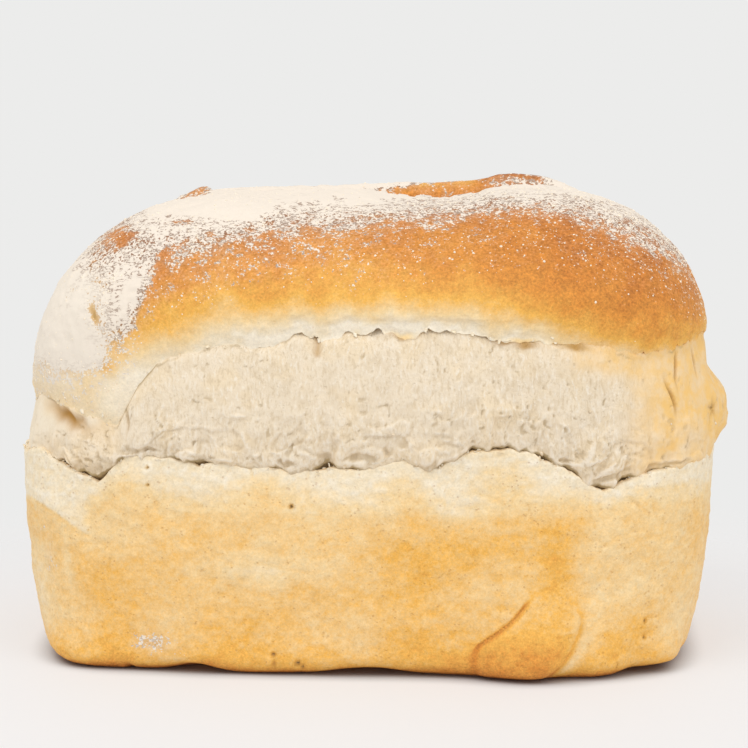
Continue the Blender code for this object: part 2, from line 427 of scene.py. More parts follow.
def wall_relief(along, height, places):
    """Relief of the lower crust: the tongue's edge, wrinkles, creases, blisters and fine grain."""
    left, right = tongue(along, height)
    relief = 1.3 * rise(left, 0.4, 0.5) * rise(right, 0.8, 0.8) * fall(height, 24, 4)
    sharp, soft = tongue_seam(along, height, 0.65)
    relief += 0.12 * soft - 0.75 * sharp
    relief += 0.16 * bump(np.hypot(along - 63, 1.3 * (height - 20)), 5, 0.8)
    relief -= 0.22 * bump(height, 36 + 2 * np.sin(along / 9), 0.7) * bump(along, -22, 14)
    slant = height - 55.5 + 0.85 * (along - 87)
    relief -= 0.4 * bump(slant, 0, 0.6) * bump(along, 87, 4)
    upright = along + 33 + 0.4 * np.sin(height / 1.3)
    relief -= 0.5 * bump(upright, 0, 0.5) * rise(height, 63.5, 1)
    skin = skin_edge(along, height)
    relief += 0.22 * (rise(skin, 0, 0.6) - 0.5 * bump(skin, 0, 0.8)) * skin_fade(along)
    relief -= spots(along, height, ((0.6, 94, 2.2, 19, 0.5), (0.6, 94, 2.2, 13.5, 0.8)))
    relief += noises(places, (0.34, 9, 71), (0.17, (3.6, 3.6, 2.4), 72), (0.13, 1.4, 73))
    wrinkle, groove = ridges(places, (7, 7, 3), 74), ridges(places, (4.2, 4.2, 1.6), 75)
    return relief + 0.10 * wrinkle**6 - 0.10 * groove**12


def skin_edge(along, height):
    """Height over the lower edge of the pale skin at the left corner, negative outside the skin."""
    corners = ((-190, 56), (-125, 54), (-108, 53), (-99, 50.5), (-92, 46.5), (-84, 43), (-78, 43))
    return height - through(along, corners)


def skin_fade(along):
    """How clearly the pale skin shows at a distance along the rim: it fades out away from the corner."""
    return between(along, -150, 18, -86, 3)


def wall_bake(along, height, places, low):
    """How baked the lower crust is, from 0, pale, to 1, dark: golden below, paler towards the tear, with
    painted shade in its creases, and darker at its foot from browning and from painted contact shadow.
    """
    wander = noises(places, (4, 30, 81), (2, 9, 82))
    line = 53 + 3 * rise(along, 60, 25) + 4 * bump(along, 70, 9)
    bake = 0.14 + 0.19 * fall(height + wander, line, 6) - 0.12 * rise(height - low + 0.4 * wander, -6, 3.2)
    bake += 0.17 * fall(height + 0.6 * wander, 7, 5)
    # Darker at the very foot: browning of the foot, and painted contact shadow along it.
    bake += 0.14 * fall(height, 1.6, 1) + 0.30 * fall(height, 0.7, 0.4)
    bake += spots(along, height, WALL_BLOTCHES)
    left, right = tongue(along, height)
    bake += 0.13 * rise(left, 0, 0.8) * rise(right, 0.6, 0.8) * fall(height, 19, 6)
    # The tongue's creases turn browner as painted shade.
    sharp, soft = tongue_seam(along, height, 0.7)
    bake += 0.22 * sharp + 0.10 * soft - 0.15 * bump(right, -3, 2.4) * fall(height, 15, 4)
    bake -= 0.07 * bump(np.abs(along), 108, 17) * rise(height, 10, 6)
    bake -= 0.17 * rise(skin_edge(along, height), 0, 0.5) * skin_fade(along)
    bake += noises(places, (0.09, 15, 83), (0.03, (5, 5, 3), 84))
    return np.clip(bake, 0.06, 1)


# Browner and paler blotches of the wall: strength, place and width along, place and width up
WALL_BLOTCHES = (
    (0.09, 26, 16, 36, 10), (0.08, 62, 6, 42, 14), (0.12, 79, 9, 12, 8), (-0.14, 65.5, 3.4, 3, 4),
    (0.10, 92, 2.4, 17, 3), (-0.14, -24, 22, 34, 5), (-0.12, -94, 2.2, 33, 7),
)


def wall_pores(along, height, around):
    """Depth from 0 to 1 of the few open pores that show, and of the faint ones scattered thinly.

    An open pore has a place along the rim, a height and a radius.
    """
    pores = (
        (-20.5, 54.5, 0.6), (-65.5, 66.0, 0.4), (-65.5, 60.5, 0.4), (-27, 7.2, 0.6), (-19.5, 4.6, 0.7),
        (-27, 3.9, 0.6), (-18, 3.4, 0.5), (93, 18, 0.5), (93.5, 12.5, 0.5),
    )
    faint = hollows(along, height, around, (5, 4.5), (0.5, 0.4), 0.3, 65)
    depth = 0 * faint
    for place, up, radius in pores:
        hole = 1.7 * bump(np.hypot(along - place, height - up), 0, radius)
        depth = np.maximum(depth, np.clip(hole, 0, 1))
    return depth, faint


def side_faces(rows, count):
    """Four-cornered faces between the rings of a closed strip of columns, pointing outwards."""
    ring = np.arange(count)
    after = (ring + 1) % count
    row = np.arange(rows - 1)[:, None] * count
    above = row + count
    return np.stack([row + ring, row + after, above + after, above + ring], axis=-1).reshape(-1, 4)


def fan_faces(ring, pole, up):
    """Three-cornered faces that close a ring with one point, seen from above or from below."""
    after = np.roll(ring, -1)
    middle = np.full(len(ring), pole)
    return np.stack([ring, after, middle] if up else [after, ring, middle], axis=-1)


def closed_strip(places, bottom, top):
    """Places and faces of a strip whose first and last ring are each closed by a fan round a point.

    The two points stand on the loaf's upright axis, at the bottom's and the top's height.
    """
    rows, count = places.shape[:2]
    first = np.arange(count)
    last = first + (rows - 1) * count
    faces = [side_faces(rows, count), fan_faces(first, rows * count, up=False)]
    faces.append(fan_faces(last, rows * count + 1, up=True))
    return np.concatenate([places.reshape(-1, 3), [(0, 0, bottom), (0, 0, top)]]), faces


def with_poles(values):
    """A mask's values with one more for each closing point."""
    return np.concatenate([np.ravel(values), [0, 0]])


def closed_below(places):
    """Places and faces of a grid that is closed below by two rings, which shrink to a point above its rim."""
    rows, across = places.shape[:2]
    index = np.arange(rows * across).reshape(rows, across)
    quads = np.stack([index[:-1, :-1], index[:-1, 1:], index[1:, 1:], index[1:, :-1]], axis=-1).reshape(-1, 4)
    ring = np.concatenate([index[0, :-1], index[:-1, -1], index[-1, :0:-1], index[:0:-1, 0]])
    parts, faces = [places.reshape(-1, 3)], [quads]
    outer, total = parts[0][ring], rows * across
    middle = np.array([0, 0, outer[:, 2].mean() + 12])
    for inward in (0.25, 0.6):
        parts.append(outer + (middle - outer) * inward)
        inner = total + np.arange(len(ring))
        faces.append(np.stack([ring, inner, np.roll(inner, -1), np.roll(ring, -1)], axis=-1))
        ring, total = inner, total + len(ring)
    faces.append(fan_faces(ring, total, up=False))
    return np.concatenate([*parts, middle[None]]), faces


def make_piece(name, shape, material, moved=0):
    """A closed smooth mesh with its masks as attributes, which rides on the loaf and stands for it.

    A shape is its places in millimetres, its groups of faces and its masks by name.
    """
    places, faces, masks = shape
    mesh = bpy.data.meshes.new(name)
    corners = [face for part in faces for face in part.tolist()]
    mesh.from_pydata((places + moved).reshape(-1, 3) * MM, [], corners)
    mesh.shade_smooth()
    for mask, values in masks.items():
        layer = mesh.attributes.new(mask, "FLOAT", "POINT")
        layer.data.foreach_set("value", np.ascontiguousarray(values, dtype=np.float32).ravel())
    mesh.materials.append(material)
    mesh.update()
    piece = bpy.data.objects.new(name, mesh)
    bpy.context.scene.collection.objects.link(piece)
    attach(piece, "root")
    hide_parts("loaf")


def stacked(*rows):
    """Rows of a strip, one under the other, each spread over all columns."""
    count = max(np.shape(row)[-1] for row in rows)
    return np.concatenate([np.broadcast_to(row, (np.shape(row)[0], count)) for row in rows])


def base_rows(ring):
    """Rings of the flat base inside the loaf's lowest ring, whose edge lifts off the table."""
    share = np.linspace(0.06, 0.98, BASE_ROWS)[:, None]
    base = np.empty((BASE_ROWS, len(ring), 3))
    base[..., :2] = share[..., None] * ring[:, :2]
    base[..., 2] = ring[:, 2] * np.clip((share - 0.84) / 0.16, 0, 1) ** 2
    dent = noises(base, (1, 16, 61), (0.6, 5, 62))
    base[..., 2] += 0.35 * np.clip(dent, 0, 1) * rise(share, 0.15, 0.03)
    return base


def drawn_in(sizes, unit, height):
    """How far the wall is drawn in: by the square of the depth below its upright part."""
    return by_side(unit, sizes.base_in) * np.clip(1 - height / sizes.wall_upright, 0, 1) ** 2


def lower_crust(sizes):
    """The tin-shaped crust: flat base, round base edge, wall drawn in by the square of the depth below
    its upright part, and a lip that curls into the tear."""
    along, unit, rim = side_columns(sizes, *CRUST_STEPS)
    low = tear_edges(sizes, along, rim)[0]
    radius, curl = sizes.base_round, sizes.crust_round

    turn = np.linspace(0, np.pi / 2, ROUND_ROWS)[:, None]
    part = np.linspace(0, 1, WALL_ROWS)[1:-1, None]
    inside = np.array([[1.5], [4.5]])
    offset = [-radius * (1 - np.sin(turn)), 0 * part * along, -curl * (1 - np.cos(turn))]
    offset = stacked(*offset, -sizes.crevice - 1.2 - inside)
    height = [radius * (1 - np.cos(turn)), radius + (low - curl - radius) * part]
    height = stacked(*height, low - curl + curl * np.sin(turn), low - inside)
    offset = offset - drawn_in(sizes, unit, height)
    height = height + base_lift(sizes, along) * np.clip(1 - height / 10, 0, 1) ** 2
    places = smooth_places(sizes, unit, along, offset, height)

    shown = np.ones((len(height), 1))
    shown[:3, 0] = (0.1, 0.4, 0.8)
    shown[-3:, 0] = (0.8, 0, 0)
    pores, faint = wall_pores(along, height, 2 * rim_table(sizes)[1][-1])
    relief = wall_relief(along, height, places) - 0.8 * pores - 0.3 * faint
    places[..., :2] += unit * (relief * shown)[..., None]
    base = base_rows(places[0])

    # Painted shade: browner in the hollows of the relief and in the pores.
    bake = wall_bake(along, height, places, low) + 0.05 * cavity(relief, 6, 0.12) + 0.15 * pores
    # The lowest rows of the wall turn dark brown: browning of the foot, and painted contact shadow along it.
    sole = np.zeros((len(height), 1))
    sole[:5, 0] = (1.0, 0.95, 0.55, 0.2, 0.05)
    bake = bake + (1 - bake) * sole * np.clip(0.8 + 0.5 * noise(rim, 7, 64), 0, 1)
    bottom = 0.66 + noises(base, (0.10, 12, 63), (0.05, 4, 64))
    bottom[-4:] = 0.95
    # The deep mask is painted shade: it darkens the tongue's crease, the pores, the wall's edge where the
    # crevice gapes and the hidden rows inside.
    crease = 0.45 * tongue_seam(along, height, 0.3)[0] * bump(height, 17, 7)
    deep = np.maximum(np.clip(pores + 0.25 * faint, 0, 1), crease)
    gape = tear_open(along, rim)
    edge = rise(height, low - 0.3, 0.2) * gape
    deep = np.maximum(deep * shown, 0.7 * edge * (height > low - 3))
    deep[-2:] = 0.8
    ragged_lip = bump(height, low - 0.4, 0.5) * (0.25 + 0.75 * gape)
    floured = 0.5 * bump(along, -66.5, 8) * bump(height, 9.5, 3.6)
    floured = np.maximum(floured, 0.3 * bump(along, -103, 3) * bump(height, 36, 9))
    none = np.zeros(base.shape[:2])
    masks = {"bake": [bottom, bake], "deep": [none, deep], "flour": [none, floured]}
    masks["lip"] = [none, ragged_lip]
    masks = {name: with_poles(np.clip(np.concatenate(rows), 0, 1)) for name, rows in masks.items()}
    return *closed_strip(np.concatenate([base, places]), 0.2, low.mean() - 6), masks


def tear_open(along, rim):
    """How far the crevice gapes at a distance along the rim, from 0, where the crumb covers it, to 1.

    A gap at the front has a place, a width and how far it gapes.
    """
    gaps = (
        (-94, 3, 0.6), (-87, 3, 0.8), (-81, 4.5, 1.0), (-74, 3, 0.5), (-65, 4, 0.4), (-56, 4, 0.5),
        (-49, 4, 0.85), (-24, 4.5, 0.5), (-10, 4, 1.0), (-1, 3.5, 0.6), (8, 2.5, 0.35), (26, 3, 0.45),
        (36, 4, 0.75), (44, 4.5, 0.8), (51, 2, 0.7), (57, 3, 0.8), (66, 5, 0.7), (75, 4, 0.9), (83, 4, 0.8),
        (91, 3, 0.5), (96, 4, 0.4),
    )
    hidden = rise(np.abs(along), 118, 8)
    opened = 0.10 + 0.5 * noise(rim, 6, 104) * (0.3 + 0.7 * hidden)
    for place, width, gape in gaps:
        opened = np.maximum(opened, gape * bump(along, place, width))
    return np.clip(opened + 0.12 * noise(rim, 1.6, 105), 0, 1)


def cavity(relief, passes, depth):
    """How far a relief lies under its surroundings, from 1, in a hollow, to -1, on a ridge.

    The surroundings are the relief averaged over neighbours again and again; columns run round.
    """
    calm = relief
    for _ in range(passes):
        calm = (np.roll(calm, 1, axis=1) + np.roll(calm, -1, axis=1) + 2 * calm) / 4
        padded = np.concatenate([calm[:1], calm, calm[-1:]])
        calm = (padded[:-2] + padded[2:] + 2 * calm) / 4
    return np.clip((calm - relief) / depth, -1, 1)


def crumb_relief(along, height, part, places):
    """Relief of the torn crumb, how much painted shade lies in its pits and other hollows from 0 to 1, and
    how brown its cracks are.

    Lumps, strands that wander upwards, torn layers with steep edges, ragged pits, the small cuts and
    light folds that have places of their own, and the cracks of its skin.
    """
    lower = fall(part, 0.42, 0.15)
    calm = crumb_calm(along, height, places)
    behind = rise(np.abs(along), 150, 25)
    rough = np.clip(0.26 + 0.36 * noise(places, 13, 90) + 0.85 * lower + 0.35 * behind, 0.12, 1.25)
    strung = warped(warped(places, 9, 3, 210), 3, 0.8, 220)
    clods = 0.8 * noise(places, (11, 11, 20), 91) + 0.45 * noise(places, 5, 92) * (0.3 + lower)
    strands = 0.50 * ridges(strung, (3.4, 3.4, 8), 93) ** 2 + 0.28 * ridges(strung, (1.5, 1.5, 3.2), 94) ** 2
    strands = strands + 0.14 * noise(strung, (0.9, 0.9, 1.5), 95)
    layers = 0.7 * lower * rise(noise(strung, (6.5, 6.5, 4.2), 96), 0.12, 0.06)
    grains = 0.12 * noise(places, 0.9, 97)
    relief = clods + rough * (1 - 0.75 * calm) * (strands + layers + grains)

    spotted = 0.12 * noise(places, 8, 99) + 0.17 * lower - 0.05
    pits = rise(noise(strung, (1.2, 1.2, 1.9), 98) + spotted, 0.80, 0.05) * (1 - 0.7 * calm)
    caves = rise(noise(strung, (4.5, 4.5, 2.6), 100), 0.42, 0.09) * bump(part, 0.06, 0.12)
    bent = along + 1.2 * noise(places, 1.9, 116), height + 1.2 * noise(places, 1.7, 117)
    broken = np.clip(0.65 + 0.9 * noise(places, 1.3, 118), 0, 1)
    cuts, folds = broken * marks(*bent, CRUMB_CUTS, 0.42), broken * marks(*bent, CRUMB_FOLDS, 0.8)
    specks = rise(noise(strung, (1.5, 1.5, 1.1), 120), 0.36, 0.1)
    specks = specks * bump(along, -86, 11) * bump(height, 68 + 0.3 * (along + 84), 6)
    relief = relief - 0.35 * pits - 0.9 * caves - 0.45 * cuts + 0.55 * folds - 0.4 * specks
    relief = relief + 0.6 * bump(along, -93, 8) * bump(height, 84, 1.9)

    sunk, split, brown = skin_cracks(along, height)
    corner = 0.55 * bump(along, -79, 6) * bump(height, 64.5, 3.5)
    # The hollow mask is painted shade: it darkens the pits, caves, splits, cuts, specks and the notch at the
    # corner.
    hollow = [0.8 * pits, 0.45 * caves, 0.4 * split, 0.8 * cuts, 0.95 * specks, corner]
    return relief - sunk, np.clip(np.maximum.reduce(hollow), 0, 1), np.clip(brown, 0, 1)


def crack(along, height, place, up, wide, tall, wave, cell, lean=0.0):
    """Strength of one upright crack: its line waves and leans with the height, and fades up and down."""
    line = place + wave * np.sin(height / cell) - lean * (height - up)
    return bump(along, line, wide) * bump(height, up, tall)


def skin_cracks(along, height):
    """The crumb's cracks: how deep they are in all, how far the skin is split, and how brown they are.

    Three splits and a slit stand upright, a pucker has five rays, and the last is the corner's cave.
    """
    split = np.maximum.reduce([
        crack(along, height, 102, 97, 0.5, 5, 0.9, 3.1),
        0.6 * crack(along, height, -71.7, 81, 0.5, 4, -0.7, 2.2, 0.10),
        0.9 * crack(along, height, 113, 98, 0.45, 4, 0.6, 2.4),
    ])
    slit = crack(along, height, 98.5, 88, 0.6, 4.8, 0.8, 2.6, 0.25)
    right, up = along - 121, height - 82.5
    pucker = bump(np.hypot(right, up), 0, 2.4) * (0.7 + 0.3 * np.sin(5 * np.arctan2(up, right)))
    cave = corner_cave(along, height)
    sunk = 1.1 * split + 1.0 * slit + 1.3 * pucker + 1.9 * cave
    return sunk, split, np.maximum.reduce([0.7 * split, 0.8 * pucker, 0.9 * slit, cave])


def corner_cave(along, height):
    """The brown hollow under a flap at the left corner, which slants down to the right."""
    middle = 80.5 - 0.30 * (along + 95) + 0.5 * np.sin(along / 1.1)
    return bump(along, -94.5, 8.5) * bump(height, middle, 2.4)


def crumb_calm(along, height, places):
    """How smooth the crumb is, from 0, torn, to 1: skin covers it at the left corner and the right end."""
    left = 0.9 * between(along, -215, 20, -75, 6) * (1 - 0.8 * bump(along, -84, 15) * fall(height, 76, 2.5))
    right = 0.65 * between(along, 86, 6, 185, 15)
    patches = 0.45 * rise(noise(places, (15, 15, 11), 103), 0.1, 0.25)
    patches = patches * (1 - 0.7 * rise(np.abs(along), 150, 25))
    return np.maximum(np.maximum(left, right), patches)


def marks(along, height, places, width):
    """Strength from 0 to 1 of short straight marks, which fall off with the distance from their lines."""
    strength = 0 * along * height
    for start, low, end, high in places:
        run, climb = end - start, high - low
        right, up = along - start, height - low
        share = np.clip((right * run + up * climb) / (run**2 + climb**2), 0, 1)
        far = np.hypot(right - share * run, up - share * climb)
        strength = np.maximum(strength, bump(far, 0, width * (1 - 0.5 * share)))
    return strength


# Cuts and light folds of the crumb, each from a place along the rim and a height to another
CRUMB_CUTS = (
    (23, 81, 24, 84), (24, 84, 25.5, 83), (27, 82.5, 28, 80.5), (6.5, 85.5, 9, 86), (9, 86, 9.5, 83),
    (45, 78, 45.5, 74.5), (66, 75, 67, 71), (67.5, 72.5, 68, 70.5), (72, 67, 73, 65), (-49, 87, -47.5, 86),
    (-46, 88.5, -44, 87.5), (-29, 83, -28.5, 81), (-61.5, 83, -60, 79.5), (-62, 77, -61.5, 74.5),
    (-28, 74, -26.5, 71), (-20, 72.5, -17.5, 70.5), (57.5, 79, 58, 77), (-90, 77.5, -87, 76.5),
    (-92, 71, -90, 72), (-86, 70, -84.5, 68.5), (-81, 67.5, -80, 65.5), (-69, 85, -69.5, 81.5),
    (-97, 76, -93, 74.5), (-84, 76, -82.5, 73), (-78.5, 77, -78, 71), (-88, 66.5, -85, 65.5),
    (90, 76.5, 91, 74), (97, 75.5, 98.5, 78), (104, 72, 105, 76), (95, 69.5, 96, 68.5), (84, 70, 85, 69),
)
CRUMB_FOLDS = (
    (21.5, 78.5, 26.5, 76), (26.5, 76, 31, 75.5), (23.5, 74, 27.5, 72), (27.5, 72, 31, 70.5),
    (3, 69.5, 8, 68), (-36.5, 82.5, -32.5, 84), (35.5, 75, 38, 76), (-16.5, 70.5, -13, 69.5),
    (61.5, 81, 64.5, 78), (73.5, 77.5, 75, 73), (-45, 79, -44, 75.5), (49.5, 86.5, 50.5, 83),
    (-30, 70, -24, 71.5), (-88, 74, -80, 72),
)


def torn_crumb(sizes):
    """The band of torn crumb: a belly between the cap's lip above and a ragged lower edge, which hangs
    over the lower crust or, where the crevice gapes, lies back behind it."""
    along, unit, rim = side_columns(sizes, *CRUMB_STEPS)
    low, top = tear_edges(sizes, along, rim)
    narrow = np.clip((top - low) / (sizes.tear_top - sizes.tear_low), 0.25, 1.2)
    gape = tear_open(along, rim)
    lowest = by_side(unit, (0.2, -0.6, 0.2, -1.2)) - sizes.crevice * gape * (0.45 + 0.55 * narrow)
    covers = np.maximum(bump(along, -87, 10), between(along, 63, 3, 185, 15))
    highest = by_side(unit, sizes.cap_offset) - by_side(unit, sizes.cap_tuck) + 0.35 * covers
    highest = highest - sizes.undercut * (1 - 0.85 * lip_flush(along))
    teeth = 0.8 + noises(rim, (1.1, 3.7, 106), (0.45, 1.3, 107))
    foot = low - (1 - gape) * teeth + 1.5 * gape**2
    upper = top + covers * (0.4 + noises(rim, (1.1, 3, 109), (0.7, 1.1, 110)))

    part = np.linspace(0, 1, CRUMB_ROWS)[:, None]
    part = part + 0.03 * np.sin(2 * np.pi * part) / np.pi
    swelling_out = np.clip(np.sin(np.pi * part), 0, 1) ** 0.7 * by_side(unit, (1, 0.1, 1, 0.4))
    belly = sizes.belly * narrow * swelling_out
    offset = lowest + (highest - lowest) * part + belly
    offset = stacked(lowest - [[6.0], [2.0], [0.7]], offset, highest - [[0.6], [2.5]])
    height = foot + (upper - foot) * part
    height = stacked(foot - [[4.0], [2.0], [0.15]], height, upper + [[1.0], [3.0]])
    part = np.concatenate([[[0.0]] * 3, part, [[1.0]] * 2])
    places = smooth_places(sizes, unit, along, offset, height)
    relief, hollow, stain = crumb_relief(along, height, part, places)
    shown = np.clip(part / 0.04, 0.3, 1) * np.clip((1.0 - part) / 0.05, 0.1 + 0.5 * covers, 1)
    places[..., :2] += unit * (relief * shown)[..., None]
    masks = {
        "calm": np.broadcast_to(crumb_calm(along, height, places), height.shape),
        "hollow": hollow,
        # painted shade in the hollows of the relief, painted highlight on its ridges
        "worn": 0.5 + 0.5 * cavity(relief * shown, 5, 0.3),
        "skin": crumb_skin(along, height, part, places),
        # painted shade along the open crevice and under the cap's lip
        "deep": crumb_crevice_shade(along, height, gape, foot, top, rim, places),
        # the brown of cracks and of the corner's cave, and painted shade in strips under the lip
        "stain": np.maximum(stain, lip_shade_strips(along, height, top)),
    }
    masks = {name: with_poles(values) for name, values in masks.items()}
    return *closed_strip(places, low.mean() - 4, top.mean() + 4), masks


def crumb_skin(along, height, part, places):
    """How much yellow skin stretches over the crumb: round the right end, on its lobe, over the cave."""
    patch = noises(places, (1, 13, 101), (0.5, 4, 102))
    fade = fall(along + 30 * noise(places, 13, 121) - 0.6 * (height - 85), 168, 24)
    right = 0.95 * rise(along, 87, 7) * fade * np.clip(1.05 + 0.6 * patch + 0.7 * (part - 0.45), 0, 1)
    upper = 0.8 * rise(along, 64, 8) * fade * rise(part, 0.74, 0.1) * np.clip(0.75 + patch, 0, 1)
    lobe = spots(along, height, ((1.8, 136, 28, 83, 15), (1.2, 100, 8, 88, 8)))
    flap = 0.75 * bump(along, -94, 10) * rise(height, 81, 1.5)
    corner = between(along, -150, 20, -74, 3) * np.clip(0.08 + 0.18 * patch, 0, 1)
    return np.clip(np.maximum.reduce([right, upper, lobe, flap, corner]), 0, 1)


def crumb_crevice_shade(along, height, gape, foot, top, rim, places):
    """Painted shade on the crumb: along the open crevice and under the cap's lip."""
    broken = np.clip(0.35 + 0.9 * noise(rim, 2.6, 115), 0, 1)
    over = 0.35 + 1.1 * gape * np.clip(0.5 + 1.2 * noise(places, 1.2, 119), 0, 1)
    low_edge = fall(height - foot, over, 0.2) * np.maximum(0.8 * rise(gape, 0.3, 0.12), 0.5 * broken)
    line = np.clip(0.1 + 0.6 * noise(rim, 3.1, 108), 0, 0.5) * (1 - 0.5 * bump(along, 20, 32))
    line = np.maximum(line * (1 - 0.8 * bump(along, -87, 10)), 0.7 * bump(along, -65, 8))
    wide = 0.35 + 0.3 * bump(along, -68, 7)
    return np.maximum(low_edge, line * bump(height, top - lip_teeth(along, rim) - 0.4, wide))


def lip_shade_strips(along, height, top):
    """Strips of the crumb under the cap's lip tinted ochre as painted shade of its flaps, and a faint tint
    under the lip round the right end.

    A strip has a place, a width, how far it reaches down and how brown it is.
    """
    strips = (
        (-12, 1.1, 5.4, 0.6), (14, 3.4, 1.6, 0.8), (45, 3.2, 1.8, 0.8), (50.5, 3.4, 3.0, 0.85),
        (65, 3.6, 1.6, 0.9),
    )
    stain = 0.14 * between(along, 76, 6, 180, 14) * rise(height, top - 2.5, 1.2)
    for place, width, reach, share in strips:
        stain = np.maximum(stain, share * bump(along, place, width) * rise(height, top - reach, 0.4))
    return stain


def lip_flush(along):
    """How closely the cap's lip clings to the crumb: it only stands out in the middle of the front."""
    left = 0.85 * between(along, -215, 20, -19, 2)
    return np.maximum(np.maximum(between(along, 60, 3, 190, 15), left), 0.3)


def lip_teeth(along, rim):
    """How far the cap's lip hangs below the tear's upper edge: torn flaps with steep ends, and small teeth.

    A flap at the front has two ends and a depth, and a notch has a depth, a place and a width. The
    rest are steps of smooth noise.
    """
    flaps = ((-11, -5, 2.6), (-5, -3, 1.0), (7.5, 18.5, 1.2), (44, 58, 0.9), (-62, -57, 0.8), (-36, -31, 0.9))
    notches = (
        (1.6, -12.6, 0.9), (1.6, -3.6, 1.0), (1.5, 5.5, 1.6), (1.2, 21.5, 1.2), (1.4, 27, 1.6),
        (1.2, 38.5, 2.2),
    )
    shown = sum(deep * between(along, left, 0.4, right, 0.4) for left, right, deep in flaps)
    steps = rise(noise(rim, 5, 111), 0.15, 0.1) - 1.2 * rise(noise(rim, 3.4, 112), 0.45, 0.08)
    steps = (0.6 + 1.1 * between(along, 60, 3, 190, 15)) * (steps + 0.5 * noise(rim, 2.2, 114))
    steps = (steps + 0.3 * noise(rim, 0.9, 113)) * (1 - 0.4 * lip_flush(along))
    return steps + shown - hills(along, notches)


def slash(sizes, x, y):
    """Height of the slash along the top: a groove with a steep near wall, and a raised lip behind it.

    Returns the height, the share of the bare torn face behind the near lip, and of the far lip's edge.
    """
    far = y - (5 + 2 * np.sin(x / 31) + 1.2 * np.sin(x / 9))
    opened = between(x, -58, 9, 64, 6)
    lip = sizes.slash_lip * (0.43 + 0.20 * rise(x, -2, 6) + 0.40 * rise(x, 38.5, 2.5))
    line = np.stack([x, 0 * x, 0 * x], axis=-1)
    torn = noises(line, (1, 6, 121), (0.5, 1.8, 122))
    near_wall = rise(far, torn - 5, 0.9)
    groove = near_wall * fall(far, 4, 3)
    near = 0.8 * bump(far, torn - 8, 3) * (1 - bump(x, 20, 19))
    near = near + 0.9 * bump(far, torn - 5.5, 1.6) * rise(noise(line, 1.9, 123), 0.1, 0.15)
    dip = 3.4 * between(x, 4, 9, 36, 7) * rise(y, -24, 6) * (1 - near_wall)
    height = opened * (lip * between(far, 6, 3.2, 24, 7) - sizes.slash_depth * groove + near) - dip
    reach = 9 * rise(x, 0, 7) + 5 * rise(x, 32, 5) - 12 * rise(x, 58, 5)
    face = between(x, -9, 6, 63, 4) * near_wall * fall(far, reach + 1.8 * torn, 1.2)
    return height, opened * np.maximum(groove, face), bump(far, 12.5, 4) * between(x, 36, 2, 61, 3)


# Shares at which the cap's side ends and its lip starts, the lip ends, and the wall behind it ends
LIP_STARTS, LIP_ENDS, WALL_ENDS = 1.16, 1.23, 1.28


def cap_rows(sizes, unit, along, rim, share):
    """Offset and height of the cap's side for shares of 1 and more: down to the lip, round it and inside.

    A share from 1 to the last goes down the side, then half round the thin lip, then up behind it.
    """
    top = tear_edges(sizes, along, rim)[1]
    widest = np.maximum(by_side(unit, sizes.cap_widest), top + 2)
    edge = top - lip_teeth(along, rim)
    part = np.clip((share - 1) / (LIP_STARTS - 1), 0, 1)
    turn = np.clip((share - LIP_STARTS) / (LIP_ENDS - LIP_STARTS), 0, 1) * np.pi
    inside = np.clip((share - LIP_ENDS) / (WALL_ENDS - LIP_ENDS), 0, 1)
    height = widest + (edge - widest) * part
    tuck = by_side(unit, sizes.cap_tuck) * np.clip(1 - (height - top) / 9, 0, 1) ** 2
    tuck = tuck * np.clip(3 * part, 0, 1)
    flush = lip_flush(along)
    thin = 0.42 * (1 - 0.5 * flush)
    offset = by_side(unit, sizes.cap_offset) - tuck
    offset = offset - thin * (1 - np.cos(turn)) - 2.2 * inside + 0.4 * part**6 * (1 - flush)
    return offset, height - thin * np.sin(turn) + 5 * inside, widest, top


def top_crust(sizes):
    """The cap: a grid over the loaf seen from above, whose spokes rise from the lip by a superellipse.

    A share says how far out a place is from the ridge line: up to 1 the outward part is the sine of
    the share's quarter turn to a power and the raised part its cosine, and past 1 it is the side.
    """
    half = half_size(sizes)
    ridge = half[0] - half[1]

    def shares(dome, side):
        """Shares from the ridge line out over the dome to 1, then on down the side."""
        return np.concatenate([np.linspace(0, 1, dome + 1)[1:], np.linspace(1, WALL_ENDS, side + 1)[1:]])

    ends, front, back = (half[1] * shares(*rows) for rows in (END_ROWS, FRONT_ROWS, BACK_ROWS))
    x = np.concatenate([-ridge - ends[::-1], np.linspace(-ridge, ridge, RIDGE_ROWS), ridge + ends])
    y = np.concatenate([-front[::-1], [0], back])
    flat = np.stack(np.meshgrid(x, y), axis=-1)
    heart = np.stack([np.clip(flat[..., 0], -ridge, ridge), 0 * flat[..., 1]], axis=-1)
    spoke = flat - heart
    share = np.abs(spoke).max(axis=-1) / half[1]
    edge = (heart + spoke / np.maximum(share, 1e-6)[..., None]) / half
    unit = outline(edge)
    turn, distance = rim_table(sizes)
    along = np.interp(np.arctan2(edge[..., 0], -edge[..., 1]), turn, distance)
    rim = np.concatenate([unit * half, 0 * share[..., None]], axis=-1)

    offset, height, widest, top = cap_rows(sizes, unit, along, rim, share)
    powers = by_side(unit, (2.1, 2.05, 2.1, 2.06))
    quarter = np.clip(share, 0, 1) * np.pi / 2
    outward, domed = np.sin(quarter) ** (2 / powers), np.clip(np.cos(quarter), 0, 1) ** (2 / powers)
    plan = smooth_places(sizes, unit, along, offset, height)[..., :2]
    plan = heart + outward[..., None] * (plan - heart)
    x, y = np.moveaxis(plan, -1, 0)
    crest = sizes.cap_height + 0.7 + 1.5 * rise(x, 35, 15) + 0.6 * bump(x, -48, 16)
    raised = np.where(share < 1, widest + (crest - widest) * domed, height)
    cut, groove, edge_line = slash(sizes, x, y)
    z = raised + 0.8 * domed * swelling(plan, raised, 41) + cut * rise(domed, 0.5, 0.05)
    return shape_cap(np.stack([x, y, z], axis=-1), share, along, z - top, groove, edge_line)


